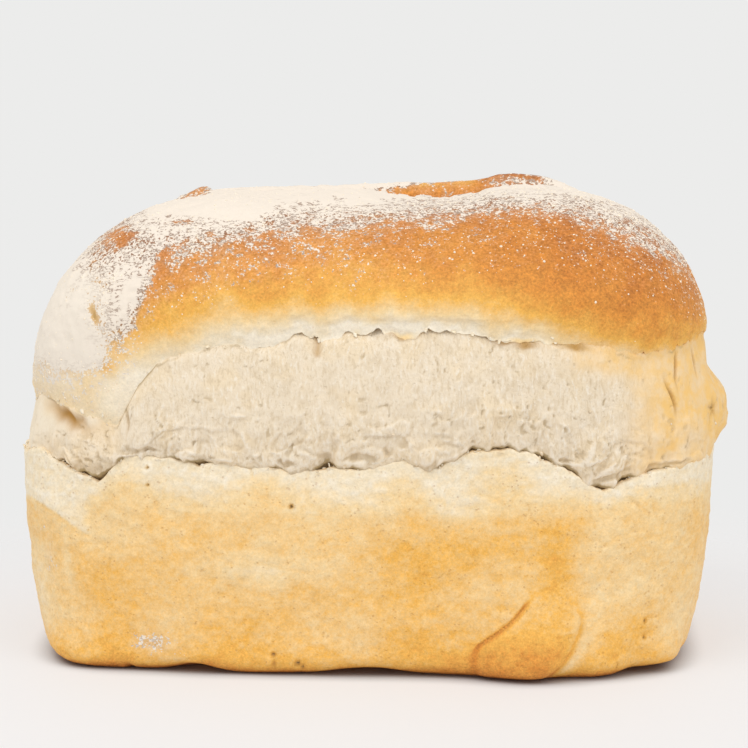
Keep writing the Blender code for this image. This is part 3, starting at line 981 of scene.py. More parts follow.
def shape_cap(places, share, along, over, groove, edge_line):
    """Adds the cap's relief along its normals, closes it below, and works out its masks."""
    x, y, z = np.moveaxis(places, -1, 0)
    bake = cap_bake(places, along, over, groove) + 0.22 * edge_line
    flour = cap_flour(places, np.maximum(groove, edge_line))
    chip = chip_mask(x, y, z)
    relief = cap_relief(places, over, flour) - 0.8 * chip + 2.2 * flap_mask(x, y)
    shown = np.clip((1.26 - share) / 0.06, 0, 1)
    places, faces = closed_below(places + surface_normals(places) * (relief * shown)[..., None])
    masks = {
        "bake": bake,
        "flour": flour,
        # painted shade in the chip and on the lip's hidden inside
        "deep": 0.75 * chip + 0.25 * rise(share, 1.225, 0.01),
        "lip": bump(share, LIP_STARTS, 0.02) * (1 - lip_flush(along)),
        "loose": (flour * (1.1 - flour) * (1 + rise(x, 40, 6)) + 0.004 * (share < 1.1)) * (1 - 0.95 * groove),
    }
    hidden = np.zeros(len(places) - share.size)
    masks = {name: np.concatenate([np.clip(values, 0, 1).ravel(), hidden]) for name, values in masks.items()}
    return places, faces, masks


def surface_normals(places):
    """Unit normals of a grid of places, from the differences along its rows and columns."""
    down, across = np.gradient(places, axis=0), np.gradient(places, axis=1)
    normal = np.cross(across, down)
    return normal / np.maximum(np.linalg.norm(normal, axis=-1, keepdims=True), 1e-6)


def cap_relief(places, over, flour):
    """Relief of the cap: swellings, wrinkles, torn crust near the lip, and flour that caked."""
    relief = noises(places, (0.45, 15, 131), (0.2, 6, 132), (0.07, 2.4, 133))
    relief = relief + 0.16 * ridges(places, (7, 5, 4), 134) ** 6 - 0.1 * ridges(places, (3, 3, 9), 135) ** 8
    near_lip = fall(over, 9, 3) * np.clip(0.6 + 0.8 * noise(places, 9, 138), 0.1, 1)
    torn = noise(warped(places, 5, 1.5, 230), (2.6, 2.6, 1.7), 139)
    relief = relief + near_lip * (0.22 * torn + 0.18 * noise(places, 1.2, 140) - 0.3 * rise(torn, 0.55, 0.06))
    return relief + flour * (0.22 * noise(places, 1.7, 136) + 0.2 * rise(noise(places, 3.5, 137), 0.1, 0.1))


def chip_mask(x, y, z):
    """The small slanting chip in the left shoulder, where the flour came off."""
    slant = x + 81.5 + 0.34 * (z - 113)
    return bump(slant, 0, 1.2) * bump(z, 113, 3.6) * fall(y, -20, 5)


def flap_mask(x, y, wide=1.6, before=0.0):
    """The small brown flap at the left end of the slash: a low ridge that grows to its right end.

    Its colour reaches further to the front than the ridge.
    """
    line = -5 + 0.25 * (x + 58) - before
    grown = 0.4 + 0.6 * rise(x, -59, 3)
    return grown * between(x, -64, 0.8, -53.5, 0.5) * bump(y, line, wide)


def shoulder(places, middle, width):
    """How far a place belongs to the left shoulder: a clean limit at the front, a wandering one behind."""
    x, y = places[..., 0], places[..., 1]
    behind = rise(y, 4, 12)
    limit = middle + behind * (8 + 22 * noise(places, 21, 154))
    return fall(x, limit, width * (1 + 1.8 * behind))


def cap_bake(places, along, over, groove):
    """How baked the cap is: pale along the lip, then golden and brown with the height over the lip."""
    x, y, z = np.moveaxis(places, -1, 0)
    right = rise(x, 56, 14)
    raised = over + noises(places, (2.0, 20, 141), (1.2, 7, 142)) + 1.6 * noise(places, 5, 148) * right
    raised = raised + 9.5 * right - 17 * shoulder(places, -74, 6)
    raised = raised + hills(x, ((1.8, -57, 10), (-1.2, -28, 16), (-1.5, 60, 9)))
    bake = through(raised, BAKE_BY_HEIGHT) + 0.04 * right * rise(z, 118, 10)
    bake = bake + noises(places, (0.06, 13, 143), (0.04, 3.5, 144), (0.03, 1.3, 145))
    torn_face = 0.82 - 0.30 * rise(y, 12, 3) * fall(x, 36, 3) + 0.08 * noise(places, 4, 146)
    bake = bake + (torn_face - bake) * groove
    bake = bake + (0.74 - bake) * np.clip(1.6 * flap_mask(x, y, 3, 2.5), 0, 1)
    bake = bake + (0.10 * noise(places, 3, 149) - 0.06) * bump(x, 12, 45) * fall(over, 3, 1.5)
    # Painted shade: the lip's lowest edge turns browner at three places, over the shaded strips of crumb
    # below it.
    for share, place, wide in ((0.22, 14, 3.6), (0.24, 50, 4.5), (0.5, 65.5, 3.8)):
        bake = np.maximum(bake, share * bump(along, place, wide) * fall(over, 0.1, 0.5))
    corner = shoulder(places, -76, 6) * fall(z, 126, 5)
    bake = bake + (0.13 + 0.06 * noise(places, 7, 147) - bake) * corner
    return bake + 0.3 * bump(x, -77.5, 3) * bump(z, 97, 2.2)


# How baked the cap is at a height over its lip
BAKE_BY_HEIGHT = (
    (0, 0.03), (3, 0.06), (6.5, 0.20), (10, 0.38), (14, 0.52), (20, 0.64), (28, 0.76), (40, 0.84),
)


def cap_flour(places, groove):
    """How thickly flour lies on the cap: thick on the crown and the left shoulder, thin lower down."""
    x, y, z = np.moveaxis(places, -1, 0)
    behind = rise(y, 6, 8)
    bare = through(x, FLOUR_EDGE)
    bare = bare + behind * (133 - 17 * bump(x, -105, 45) + 5 * noise(places, 19, 155) - bare)
    wander = noises(places, (1.8, 11, 151), (2.0, 4.2, 152), (1.2, 1.8, 153))
    level = z - bare + wander
    thin = 0.15 + 0.10 * fall(x, 5, 10)
    thick = thin * rise(level, -13, 3.5) + 0.34 * rise(level, 0, 1.8) + 0.50 * rise(level, 6.5, 2)
    thick = thick - 0.22 * bump(x, -45, 12) * bump(z, 138.5, 3.5)
    side = shoulder(places, -76, 5) * rise(z, 96 + 10 * behind, 5)
    sandy = 0.64 + noises(places, (0.26, 6, 156), (0.24, 2.4, 157))
    sandy = sandy + 0.5 * fall(x + 0.3 * (z - 108), -81, 3) - 0.15 * rise(z, 122, 5)
    thick = np.maximum(thick * (1 - 0.5 * side), side * sandy) + 0.12 * rise(z, 146.5, 1.2)
    thick = thick * (1 - 0.08 * rise(x, 44, 7) * fall(level, 6, 3))
    patch = np.clip(spots(x, z, ((1, -75.5, 7, 136, 4.5), (1, -57, 6, 140.5, 1.6))), 0, 1)
    broken = np.clip(0.75 + 0.8 * noise(places, 3.4, 159), 0, 1) * fall(y, -14, 6)
    thick = thick * (1 - 0.7 * patch * broken) - 0.40 * bump(x, -65, 9) * bump(z, 132, 7)
    thick = np.maximum(thick, 0.97 * rise(z + 0.5 * wander, 147.3, 0.6) * between(x, -40, 8, 84, 6))
    dusted = 0.22 + 0.1 * noise(places, 3, 158) + 0.22 * rise(x, 38, 2) * fall(y, 13.5, 1.2)
    thick = thick + (np.minimum(thick, dusted) - thick) * groove
    uncovered = np.maximum(np.clip(1.5 * flap_mask(x, y, 3, 2.5), 0, 0.68), chip_mask(x, y, z))
    return np.clip(thick * (1 - uncovered), 0, 1)


# Height at which the flour's edge passes a distance to the right of the loaf's middle, at the front
FLOUR_EDGE = (
    (-112, 92), (-100, 93), (-92, 95), (-84, 97), (-78, 99), (-73, 103), (-69, 109), (-66, 118), (-63, 125),
    (-60, 129), (-54, 131), (-44, 132), (-36, 135), (-28, 138), (-10, 138.5), (10, 139), (20, 140),
    (30, 141.5), (40, 143.5), (60, 143), (75, 138.5), (88, 133), (100, 126), (112, 121),
)


def settled(sizes):
    """How far the pieces move so that the smooth loaf's outline is centred where the solid is."""
    along, unit, rim = side_columns(sizes, 1.5, 1.5)
    height = np.linspace(30, 80, 26)[:, None] * np.ones(len(along))
    wall = smooth_places(sizes, unit, along, -drawn_in(sizes, unit, height), height)
    widest = np.maximum(by_side(unit, sizes.cap_widest), tear_edges(sizes, along, rim)[1] + 2)[None]
    cap = smooth_places(sizes, unit, along, by_side(unit, sizes.cap_offset)[None], widest)
    plan = np.concatenate([wall, cap])[..., :2].reshape(-1, 2)
    low, high = (np.array(corner[:2]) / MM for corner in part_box("loaf"))
    return np.append((low + high) / 2 - (plan.min(axis=0) + plan.max(axis=0)) / 2, 0)


def points_on(name, mask, count, seed):
    """Places and normals scattered over a piece, as thick as one of its masks says.

    A face is drawn with its area times its mask as the chance, then a place evenly within it.
    """
    mesh = bpy.data.objects[name].data
    mesh.calc_loop_triangles()
    corners = np.empty(len(mesh.loop_triangles) * 3, dtype=int)
    mesh.loop_triangles.foreach_get("vertices", corners)
    places = np.empty(len(mesh.vertices) * 3)
    mesh.vertices.foreach_get("co", places)
    values = np.empty(len(mesh.vertices))
    mesh.attributes[mask].data.foreach_get("value", values)
    corners = corners.reshape(-1, 3)
    first, second, third = np.moveaxis(places.reshape(-1, 3)[corners], 1, 0)
    normal = np.cross(second - first, third - first)
    area = np.linalg.norm(normal, axis=1)
    chance = np.cumsum(area * values[corners].mean(axis=1))
    random = np.random.default_rng(seed)
    drawn = np.searchsorted(chance, random.random(count) * chance[-1])
    far, side = np.sqrt(random.random(count))[:, None], random.random(count)[:, None]
    place = (1 - far) * first[drawn] + far * (1 - side) * second[drawn] + far * side * third[drawn]
    return place / MM, normal[drawn] / area[drawn, None]


def lumps(places, sizes, seed, divisions=1):
    """Small irregular lumps: a ball of few faces, stretched, turned and dented differently each time."""
    grid = bmesh.new()
    bmesh.ops.create_icosphere(grid, subdivisions=divisions, radius=1)
    ball = np.array([vertex.co[:] for vertex in grid.verts])
    faces = np.array([[vertex.index for vertex in face.verts] for face in grid.faces])
    grid.free()
    random = np.random.default_rng(seed)
    count = len(places)
    shape = ball * random.uniform(0.65, 1.25, (count, 1, 3))
    shape = shape * random.uniform(0.8, 1.15, (count, len(ball), 1))
    turned = np.einsum("nij,nkj->nki", turns(random.normal(size=(count, 4))), shape)
    points = places[:, None] + turned * np.reshape(sizes, (-1, 1, 1))
    return points, faces + (np.arange(count) * len(ball))[:, None, None], {}


def turns(quaternions):
    """Turning matrices of an array of quaternions."""
    w, x, y, z = (quaternions / np.linalg.norm(quaternions, axis=1, keepdims=True)).T
    rows = [
        [1 - 2 * (y * y + z * z), 2 * (x * y - w * z), 2 * (x * z + w * y)],
        [2 * (x * y + w * z), 1 - 2 * (x * x + z * z), 2 * (y * z - w * x)],
        [2 * (x * z - w * y), 2 * (y * z + w * x), 1 - 2 * (x * x + y * y)],
    ]
    return np.moveaxis(np.array(rows), -1, 0)


def flour_clumps(sizes):
    """Loose flour on the cap: many small clumps, half sunk in the dusting, few of them large."""
    place, normal = points_on("top_crust", "loose", sizes.flour_grains, 161)
    size = 0.13 + 0.34 * np.random.default_rng(162).random(len(place)) ** 3
    return lumps(place - normal * (0.3 * size)[:, None], size, 163)


def loose_crumbs(sizes):
    """Crumbs caught along the crevice and stuck to the torn crumb."""
    low, _ = points_on("torn_crumb", "deep", sizes.crumbs * 2 // 3, 171)
    spread, _ = points_on("torn_crumb", "hollow", sizes.crumbs - len(low), 172)
    place = np.concatenate([low, spread])
    size = 0.2 + 0.5 * np.random.default_rng(173).random(len(place)) ** 3
    return lumps(place, size, 174, divisions=2)


def lip_flakes(sizes):
    """Thin curled flakes of skin along the cap's torn lip and the lower crust's.

    A flake is a rectangle of a few points, bent up by the square of the distance from its root,
    tapered to a torn tip, and given a thickness.
    """
    rows, across = 5, 3
    corners = rows * across
    hanging = points_on("top_crust", "lip", sizes.flakes, 181)
    standing = points_on("lower_crust", "lip", 2 * sizes.flakes, 183)
    place, normal = (np.concatenate(pair) for pair in zip(hanging, standing))
    random = np.random.default_rng(182)
    count = len(place)
    out = normal * (1, 1, 0)
    out = out / np.linalg.norm(out, axis=1, keepdims=True)
    side = np.cross((0, 0, 1), out)
    root, beside = np.meshgrid(np.linspace(0, 1, rows), np.linspace(-1, 1, across), indexing="ij")
    drawn = random.uniform((0.5, 0.3, 0.1, -0.8), (1.5, 0.9, 0.6, 0.8), (count, 4))
    long, wide, curl, lean = drawn.T[..., None, None]
    torn = random.uniform(0.6, 1.2, (count, rows, across))
    run = long * root * (0.75 + 0.25 * torn)
    leaning = wide * beside * (1 - 0.45 * root**2) * torn + lean * run * 0.5
    bent = curl * long * root**2 + 0.12 * beside**2
    down = np.zeros(side.shape)
    down[:, 2] = np.where(np.arange(count) < sizes.flakes, -1.0, 0.6)
    axes = np.stack([side, down, out], axis=1)
    axes = axes + random.uniform(-0.35, 0.35, axes.shape)
    upper = np.einsum("nijk,nkl->nijl", np.stack([leaning, run, bent], axis=-1), axes)
    lower = upper - out[:, None, None] * 0.28
    points = place[:, None, None, None] + np.stack([upper, lower], axis=1)

    top = np.arange(corners).reshape(rows, across)
    sheet = np.stack([top[:-1, :-1], top[1:, :-1], top[1:, 1:], top[:-1, 1:]], axis=-1).reshape(-1, 4)
    edge = np.concatenate([top[0, :-1], top[:-1, -1], top[-1, :0:-1], top[:0:-1, 0]])
    after = np.roll(edge, -1)
    rim = np.stack([edge, after, after + corners, edge + corners], axis=-1)
    faces = np.concatenate([sheet, sheet[:, ::-1] + corners, rim])
    return points, faces + (np.arange(count) * 2 * corners)[:, None, None], {}


def put(tree, kind, *values, **settings):
    """A shader node with settings, whose first inputs get the given values or links."""
    node = tree.nodes.new("ShaderNode" + kind)
    for name, value in settings.items():
        setattr(node, name, value)
    for socket, value in zip(node.inputs, values):
        feed(tree, socket, value)
    return node


def feed(tree, socket, value):
    """Gives a socket a link or a plain value."""
    if isinstance(value, bpy.types.NodeSocket):
        tree.links.new(value, socket)
    elif value is not None:
        socket.default_value = value


def math_node(operation):
    """A function that puts a Math node of one kind into a tree and returns its result."""

    def placed(tree, *values, clamp=False):
        return put(tree, "Math", *values, operation=operation, use_clamp=clamp).outputs[0]

    return placed


times, plus, minus, larger = (math_node(kind) for kind in ("MULTIPLY", "ADD", "SUBTRACT", "MAXIMUM"))
scaled, absolute = (math_node(kind) for kind in ("MULTIPLY_ADD", "ABSOLUTE"))


def painted(tree, shade, *coats):
    """A colour with coats over it, each of which covers it by a share from 0 to 1."""
    for share, coat in coats:
        node = tree.nodes.new("ShaderNodeMix")
        node.data_type = "RGBA"
        for number, value in ((0, share), (6, shade), (7, four(coat))):
            feed(tree, node.inputs[number], value)
        shade = node.outputs[2]
    return shade


def stepped(tree, value, low, high, start=0.0, end=1.0):
    """Smooth step of a value from a start to an end."""
    node = put(tree, "MapRange", value, low, high, start, end, interpolation_type="SMOOTHSTEP")
    return node.outputs[0]


def grain(tree, place, cell, detail=2.0, rough=0.5):
    """Noise whose grains have a given size in millimetres, between about 0.25 and 0.75."""
    node = tree.nodes.new("ShaderNodeTexNoise")
    scale = 1 / (cell * MM)
    for name, value in (("Vector", place), ("Scale", scale), ("Detail", detail), ("Roughness", rough)):
        feed(tree, node.inputs[name], value)
    return node.outputs["Fac"]


def group(name, inputs, outputs):
    """An empty node group with named sockets, or None where it is built already."""
    if name in bpy.data.node_groups:
        return None
    tree = bpy.data.node_groups.new(name, "ShaderNodeTree")
    for label, kind, default in inputs:
        socket = tree.interface.new_socket(label, in_out="INPUT", socket_type="NodeSocket" + kind)
        if default is not None:
            socket.default_value = default
    for label in outputs:
        kind = "Color" if label == "Colour" else "Float"
        tree.interface.new_socket(label, in_out="OUTPUT", socket_type="NodeSocket" + kind)
    return tree, tree.nodes.new("NodeGroupInput").outputs, tree.nodes.new("NodeGroupOutput").inputs


def use(tree, name, **values):
    """A node group placed in a tree, with its named inputs fed."""
    node = tree.nodes.new("ShaderNodeGroup")
    node.node_tree = bpy.data.node_groups[name]
    for label, value in values.items():
        feed(tree, node.inputs[label], value)
    return node.outputs


def four(values):
    """A colour with its alpha."""
    return (*values, 1.0)


def baked_colour(colours):
    """Node group: the colour of crust by how baked it is, mottled by grains of several sizes, and lightened
    and darkened in grains as painted light and shade of its fine relief.
    """
    inputs = (("Place", "Vector", None), ("Bake", "Float", 0.5), ("Mottle", "Float", 1.0))
    made = group("baked_colour", inputs, ("Colour",))
    if not made:
        return
    tree, given, result = made
    place, bake = given["Place"], given["Bake"]
    broad = scaled(tree, grain(tree, place, 7), 0.20, -0.10)
    fine = scaled(tree, grain(tree, place, 1.1, 3, 0.65), 0.16, -0.08)
    speck = scaled(tree, grain(tree, place, 0.42), 0.20, -0.10)
    uneven = plus(tree, plus(tree, broad, fine), speck)
    strength = times(tree, given["Mottle"], stepped(tree, bake, 0.05, 0.4, 0.3, 1.0))
    ramp = put(tree, "ValToRGB", scaled(tree, uneven, strength, bake, clamp=True))
    stops = (
        (0, colours.torn_edge), (0.06, colours.pale), (0.2, colours.cream), (0.45, colours.gold),
        (0.65, colours.amber), (0.85, colours.brown), (1.0, colours.dark),
    )
    elements = ramp.color_ramp.elements
    while len(elements) < len(stops):
        elements.new(0.5)
    for element, (share, shade) in zip(elements, stops):
        element.position, element.color = share, four(shade)
    # Painted light and shade: the colour turns lighter and darker in small and larger grains, standing in for
    # the shading of the crust's fine relief as well as its own uneven tone.
    small = minus(tree, grain(tree, place, 0.8, 3, 0.7), 0.5)
    large = minus(tree, grain(tree, place, 2.6, 2, 0.5), 0.5)
    small = times(tree, small, stepped(tree, bake, 0.3, 0.85, 0.42, 1.6))
    large = times(tree, large, stepped(tree, bake, 0.3, 0.85, 0.24, 0.5))
    light = plus(tree, plus(tree, small, large), 1.0)
    toned = put(tree, "HueSaturation", 0.5, 1.0, light, 1.0, ramp.outputs["Color"])
    feed(tree, result["Colour"], toned.outputs["Color"])


def flour_dust():
    """Node group: flour of a thickness, as grains, a thin film, painted shade in the gaps between the grains
    and in its cracks, and relief.
    """
    inputs = (("Place", "Vector", None), ("Thickness", "Float", 0.0))
    made = group("flour_dust", inputs, ("Mask", "Film", "Gap", "Height"))
    if not made:
        return
    tree, given, result = made
    place, thickness = given["Place"], given["Thickness"]
    fine, middle = grain(tree, place, 0.8, 2, 0.6), grain(tree, place, 2.0, 2, 0.5)
    coarse = grain(tree, place, 4.5, 2, 0.5)
    uneven = scaled(tree, fine, 1.9, scaled(tree, middle, 1.5, -1.7))
    uneven = plus(tree, uneven, scaled(tree, coarse, 0.9, -0.45))
    present = stepped(tree, thickness, 0.0, 0.06)
    mask = stepped(tree, scaled(tree, thickness, 1.35, uneven), 0.57, 0.68)
    mask = times(tree, mask, present)
    film = stepped(tree, scaled(tree, uneven, 0.3, thickness), 0.05, 0.75)
    flat = put(tree, "Mapping", place, None, None, (1.0, 1.0, 2.6)).outputs[0]
    vein = absolute(tree, minus(tree, grain(tree, flat, 2.6, 3, 0.6), 0.5))
    crack = times(tree, stepped(tree, vein, 0.06, 0.02), stepped(tree, middle, 0.45, 0.55))
    crack = times(tree, crack, times(tree, mask, stepped(tree, thickness, 0.99, 0.93)))
    bare = times(tree, minus(tree, 1.0, mask), stepped(tree, thickness, 0.3, 0.65))
    gap = times(tree, bare, stepped(tree, fine, 0.55, 0.40, 0.35, 0.9))
    feed(tree, result["Mask"], mask)
    feed(tree, result["Film"], times(tree, film, present))
    feed(tree, result["Gap"], larger(tree, gap, times(tree, crack, 0.8)))
    rough = times(tree, mask, plus(tree, plus(tree, fine, middle), -0.9))
    feed(tree, result["Height"], minus(tree, rough, times(tree, crack, 0.8)))


def fine_grain():
    """Node group: relief of fine skin with round pits scattered in some of its patches."""
    inputs = (("Place", "Vector", None), ("Pits", "Float", 0.5))
    made = group("fine_grain", inputs, ("Height", "Pitted"))
    if not made:
        return
    tree, given, result = made
    place, cell = given["Place"], 1.5 * MM
    skin = grain(tree, place, 0.9, 3, 0.65)
    cells = tree.nodes.new("ShaderNodeTexVoronoi")
    feed(tree, cells.inputs["Vector"], place)
    feed(tree, cells.inputs["Scale"], 1 / cell)
    pit = stepped(tree, cells.outputs["Distance"], 0.28, 0.12)
    pit = times(tree, pit, stepped(tree, grain(tree, place, 3), 0.5, 0.6))
    pit = times(tree, pit, given["Pits"])
    feed(tree, result["Pitted"], pit)
    feed(tree, result["Height"], minus(tree, skin, pit))


def start_material(name, specular, roughness=None):
    """A new material: its tree, its Principled shader's inputs, and the object coordinates."""
    material = bpy.data.materials.new(name)
    material.use_nodes = True
    tree = material.node_tree
    shader = tree.nodes["Principled BSDF"].inputs
    feed(tree, shader["Specular IOR Level"], specular)
    feed(tree, shader["Roughness"], roughness)
    return material, tree, shader, put(tree, "TexCoord").outputs["Object"]


def mask_of(tree, name):
    """One of the piece's masks."""
    return put(tree, "Attribute", attribute_name=name).outputs["Fac"]


def roughened(tree, shader, height, strength, distance):
    """Feeds the shader's normal from a height, whose step is a distance in millimetres, by a Bump node."""
    bumped = tree.nodes.new("ShaderNodeBump")
    for name, value in (("Height", height), ("Strength", strength), ("Distance", distance * MM)):
        feed(tree, bumped.inputs[name], value)
    feed(tree, shader["Normal"], bumped.outputs["Normal"])


def crust_material(name, colours, mottle, pits, relief):
    """Baked crust with flour dust: colour by how baked it is, with painted shade in its pits, pores, creases
    and flour gaps, dull where floured, finely grained.
    """
    baked_colour(colours)
    fine_grain()
    flour_dust()
    material, tree, shader, place = start_material(name, specular=0.35)
    bake, deep = mask_of(tree, "bake"), mask_of(tree, "deep")
    baked = use(tree, "baked_colour", Place=place, Bake=bake, Mottle=mottle)
    fine = use(tree, "fine_grain", Place=place, Pits=pits)
    dust = use(tree, "flour_dust", Place=place, Thickness=mask_of(tree, "flour"))
    # Painted shade: the pits turn browner; the deep mask lays the cave, crevice and pore colours into pores,
    # creases, the crevice's edge, the chip and the lip's hidden inside; and the gaps between flour grains get
    # their shaded colour.
    shade = painted(
        tree,
        baked["Colour"],
        (times(tree, fine["Pitted"], 0.35), colours.brown),
        (deep, colours.cave),
        (stepped(tree, deep, 0.55, 1.0, 0.0, 0.7), colours.crevice),
        (stepped(tree, deep, 0.84, 1.0, 0.0, 0.85), colours.pore),
        (times(tree, dust["Film"], 0.5), colours.flour_film),
        (times(tree, dust["Mask"], 0.93), colours.flour),
        # Painted shade between the flour's grains and in its cracks, on browner crust only
        (times(tree, dust["Gap"], stepped(tree, bake, 0.15, 0.6, 0.12, 0.9)), colours.flour_gap),
    )
    feed(tree, shader["Base Color"], shade)
    feed(tree, shader["Roughness"], stepped(tree, dust["Mask"], 0.0, 1.0, 0.58, 0.95))
    bare = stepped(tree, dust["Mask"], 0.0, 1.0, 1.0, 0.45)
    height = scaled(tree, dust["Height"], 0.30, times(tree, fine["Height"], bare))
    roughened(tree, shader, height, 0.8, relief)
    return material


def crumb_material(name, colours):
    """Torn crumb: off white, with painted shade in its hollows, pits and crevice and painted highlight on its
    ridges, yellow and smoother where a skin stretched over it.
    """
    fine_grain()
    material, tree, shader, place = start_material(name, specular=0.25)
    drift = put(tree, "TexNoise", place)
    cell, push = 4 * MM, (2 * MM,) * 3
    feed(tree, drift.inputs["Scale"], 1 / cell)
    bent = put(tree, "VectorMath", drift.outputs["Color"], push, place, operation="MULTIPLY_ADD")
    fibre = put(tree, "Mapping", bent.outputs[0], None, None, (1.0, 1.0, 0.3)).outputs[0]
    strands = grain(tree, fibre, 0.8, 3, 0.6)
    fine = use(tree, "fine_grain", Place=place, Pits=0.4)
    calm, worn = mask_of(tree, "calm"), mask_of(tree, "worn")
    torn = stepped(tree, calm, 0.0, 1.0, 1.0, 0.35)
    covered = stepped(tree, grain(tree, place, 3.5, 3), 0.35, 0.6, 0.65, 1.0)
    skin = times(tree, mask_of(tree, "skin"), covered)
    hollow = larger(tree, mask_of(tree, "hollow"), times(tree, fine["Pitted"], 0.4))
    shade = painted(
        tree,
        four(colours.crumb),
        (stepped(tree, grain(tree, place, 5, 3), 0.4, 0.68, 0.0, 0.3), colours.crumb_shade),
        (stepped(tree, grain(tree, place, 11, 2), 0.45, 0.65, 0.0, 0.22), colours.cream),
        # Streaks along the strands: the crumb's own streaky tone, with painted shade and highlight along
        # their sides.
        (times(tree, stepped(tree, strands, 0.47, 0.36, 0.0, 0.5), torn), colours.crumb_shade),
        (times(tree, stepped(tree, strands, 0.54, 0.66, 0.0, 0.8), torn), colours.crumb_light),
        # Painted shade in the hollows of the relief and painted highlight on its ridges
        (stepped(tree, worn, 0.5, 1.0, 0.0, 0.55), colours.crumb_shade),
        (stepped(tree, worn, 0.5, 0.0, 0.0, 0.75), colours.crumb_light),
        (skin, colours.crumb_skin),
        # Paler on the calm skin at the left corner: the skin's own pale colour, and painted light where that
        # surface faces away from the lamps.
        (stepped(tree, calm, 0.68, 0.9, 0.0, 0.4), colours.torn_edge),
        # Painted shade in the pits and other hollows
        (times(tree, hollow, 0.7), colours.crumb_pit_shade),
        # The cracks' and the corner cave's brown, and painted shade in strips under the lip
        (mask_of(tree, "stain"), colours.cave),
        # Painted shade along the open crevice and under the lip
        (mask_of(tree, "deep"), colours.crevice),
    )
    feed(tree, shader["Base Color"], shade)
    feed(tree, shader["Roughness"], stepped(tree, skin, 0.0, 1.0, 0.92, 0.6))
    roughened(tree, shader, times(tree, plus(tree, strands, fine["Height"]), torn), 0.75, 0.4)
    return material


def powder_material(name, light, shadow, cell, rough):
    """Loose grains: two close shades, blended by noise."""
    material, tree, shader, place = start_material(name, specular=0.2, roughness=rough)
    share = stepped(tree, grain(tree, place, cell, 3), 0.35, 0.65)
    feed(tree, shader["Base Color"], painted(tree, four(light), (share, shadow)))
    roughened(tree, shader, grain(tree, place, cell / 4, 2), 0.5, 0.1)
    return material


# The stage in metres: half the floor's width, and how far out it starts to fade and is gone
FLOOR_HALF, FLOOR_FADES, FLOOR_GONE = 1.6, 0.15, 0.33

# How much of the floor's colour is a glow of its own, and how far off the loaf dims that glow
FLOOR_GLOW, DIM_REACH = 0.6, 12 * MM

# The backdrop's colour, and the colour and strength of the even light from all sides
BACKDROP, SKY, SKY_STRENGTH = srgb(236, 236, 235), (1.0, 0.995, 0.985), 0.72

# Soft lights: name, power in watts and place in metres; they have one width and one aim
LIGHTS = (("key", 6.1, (-0.50, -0.72, 1.20)), ("fill", 3.6, (0.85, -0.65, 0.85)))
LIGHT_WIDTH, LIGHT_AIM = 0.8, (0, 0, 0.08)

# The camera: its turn to the right and half its field of view in degrees, its places in metres, and
# its sensor's width in millimetres
CAMERA_TURN, HALF_VIEW = 4, 10.08
CAMERA_FAR, CAMERA_HIGH, CAMERA_AIM = 0.70, 0.176, (-0.0020, 0, 0.0877)
SENSOR_WIDTH = 36


def floor_material(colours):
    """Pale floor, lit evenly by a glow of its own, that fades out with the distance from the loaf.

    The distance is measured from a place in front of the loaf, and there is no visible far edge. The
    glow dies where the loaf shades the floor close to its foot.
    """
    material, tree, shader, place = start_material("pale_floor", specular=0.5, roughness=0.8)
    feed(tree, shader["Base Color"], four(np.multiply(colours.floor, 1 - FLOOR_GLOW)))
    feed(tree, shader["Emission Color"], four(colours.floor))
    open_sky = put(tree, "AmbientOcclusion", None, DIM_REACH, samples=24).outputs["AO"]
    feed(tree, shader["Emission Strength"], stepped(tree, open_sky, 0.12, 0.82, 0.0, FLOOR_GLOW))
    front = put(tree, "Mapping", place, (0.0, 50 * MM, 0.0)).outputs[0]
    far = put(tree, "VectorMath", front, operation="LENGTH").outputs["Value"]
    feed(tree, shader["Alpha"], stepped(tree, far, FLOOR_FADES, FLOOR_GONE, 1.0, 0.0))
    return material


def in_millimetres(sizes):
    """The sizes in millimetres, as plain values; counts stay as they are."""
    values = {name: getattr(sizes, name) for name in sizes.__annotations__}
    for name, value in values.items():
        if not isinstance(value, int):
            values[name] = np.array(value) / MM
    return SimpleNamespace(**values)


def sized(context):
    """The scene's sizes in millimetres, and its colours."""
    return in_millimetres(context.scene.loaf_sizes), context.scene.loaf_colours


class LOAF_OT_lower_crust(bpy.types.Operator):
    """Builds the tin-shaped lower crust"""

    bl_idname = "loaf.lower_crust"
    bl_label = "Lower crust"

    def execute(self, context):
        sizes, colours = sized(context)
        material = crust_material("lower_crust_baked", colours, mottle=0.9, pits=0.6, relief=0.32)
        make_piece("lower_crust", lower_crust(sizes), material, settled(sizes))
        return {"FINISHED"}


class LOAF_OT_torn_crumb(bpy.types.Operator):
    """Builds the band of torn crumb between the lower crust and the cap"""

    bl_idname = "loaf.torn_crumb"
    bl_label = "Torn crumb"

    def execute(self, context):
        sizes, colours = sized(context)
        material = crumb_material("torn_crumb_soft", colours)
        make_piece("torn_crumb", torn_crumb(sizes), material, settled(sizes))
        return {"FINISHED"}


class LOAF_OT_top_crust(bpy.types.Operator):
    """Builds the domed, slashed and floured top crust"""

    bl_idname = "loaf.top_crust"
    bl_label = "Top crust"

    def execute(self, context):
        sizes, colours = sized(context)
        material = crust_material("top_crust_baked", colours, mottle=0.8, pits=0.35, relief=0.25)
        make_piece("top_crust", top_crust(sizes), material, settled(sizes))
        return {"FINISHED"}


class LOAF_OT_lip_flakes(bpy.types.Operator):
    """Builds the curled flakes along both edges of the tear"""

    bl_idname = "loaf.lip_flakes"
    bl_label = "Lip flakes"

    def execute(self, context):
        sizes, colours = sized(context)
        material = powder_material("flake_skin", colours.torn_edge, colours.pale, 2, 0.7)
        make_piece("lip_flakes", lip_flakes(sizes), material)
        return {"FINISHED"}


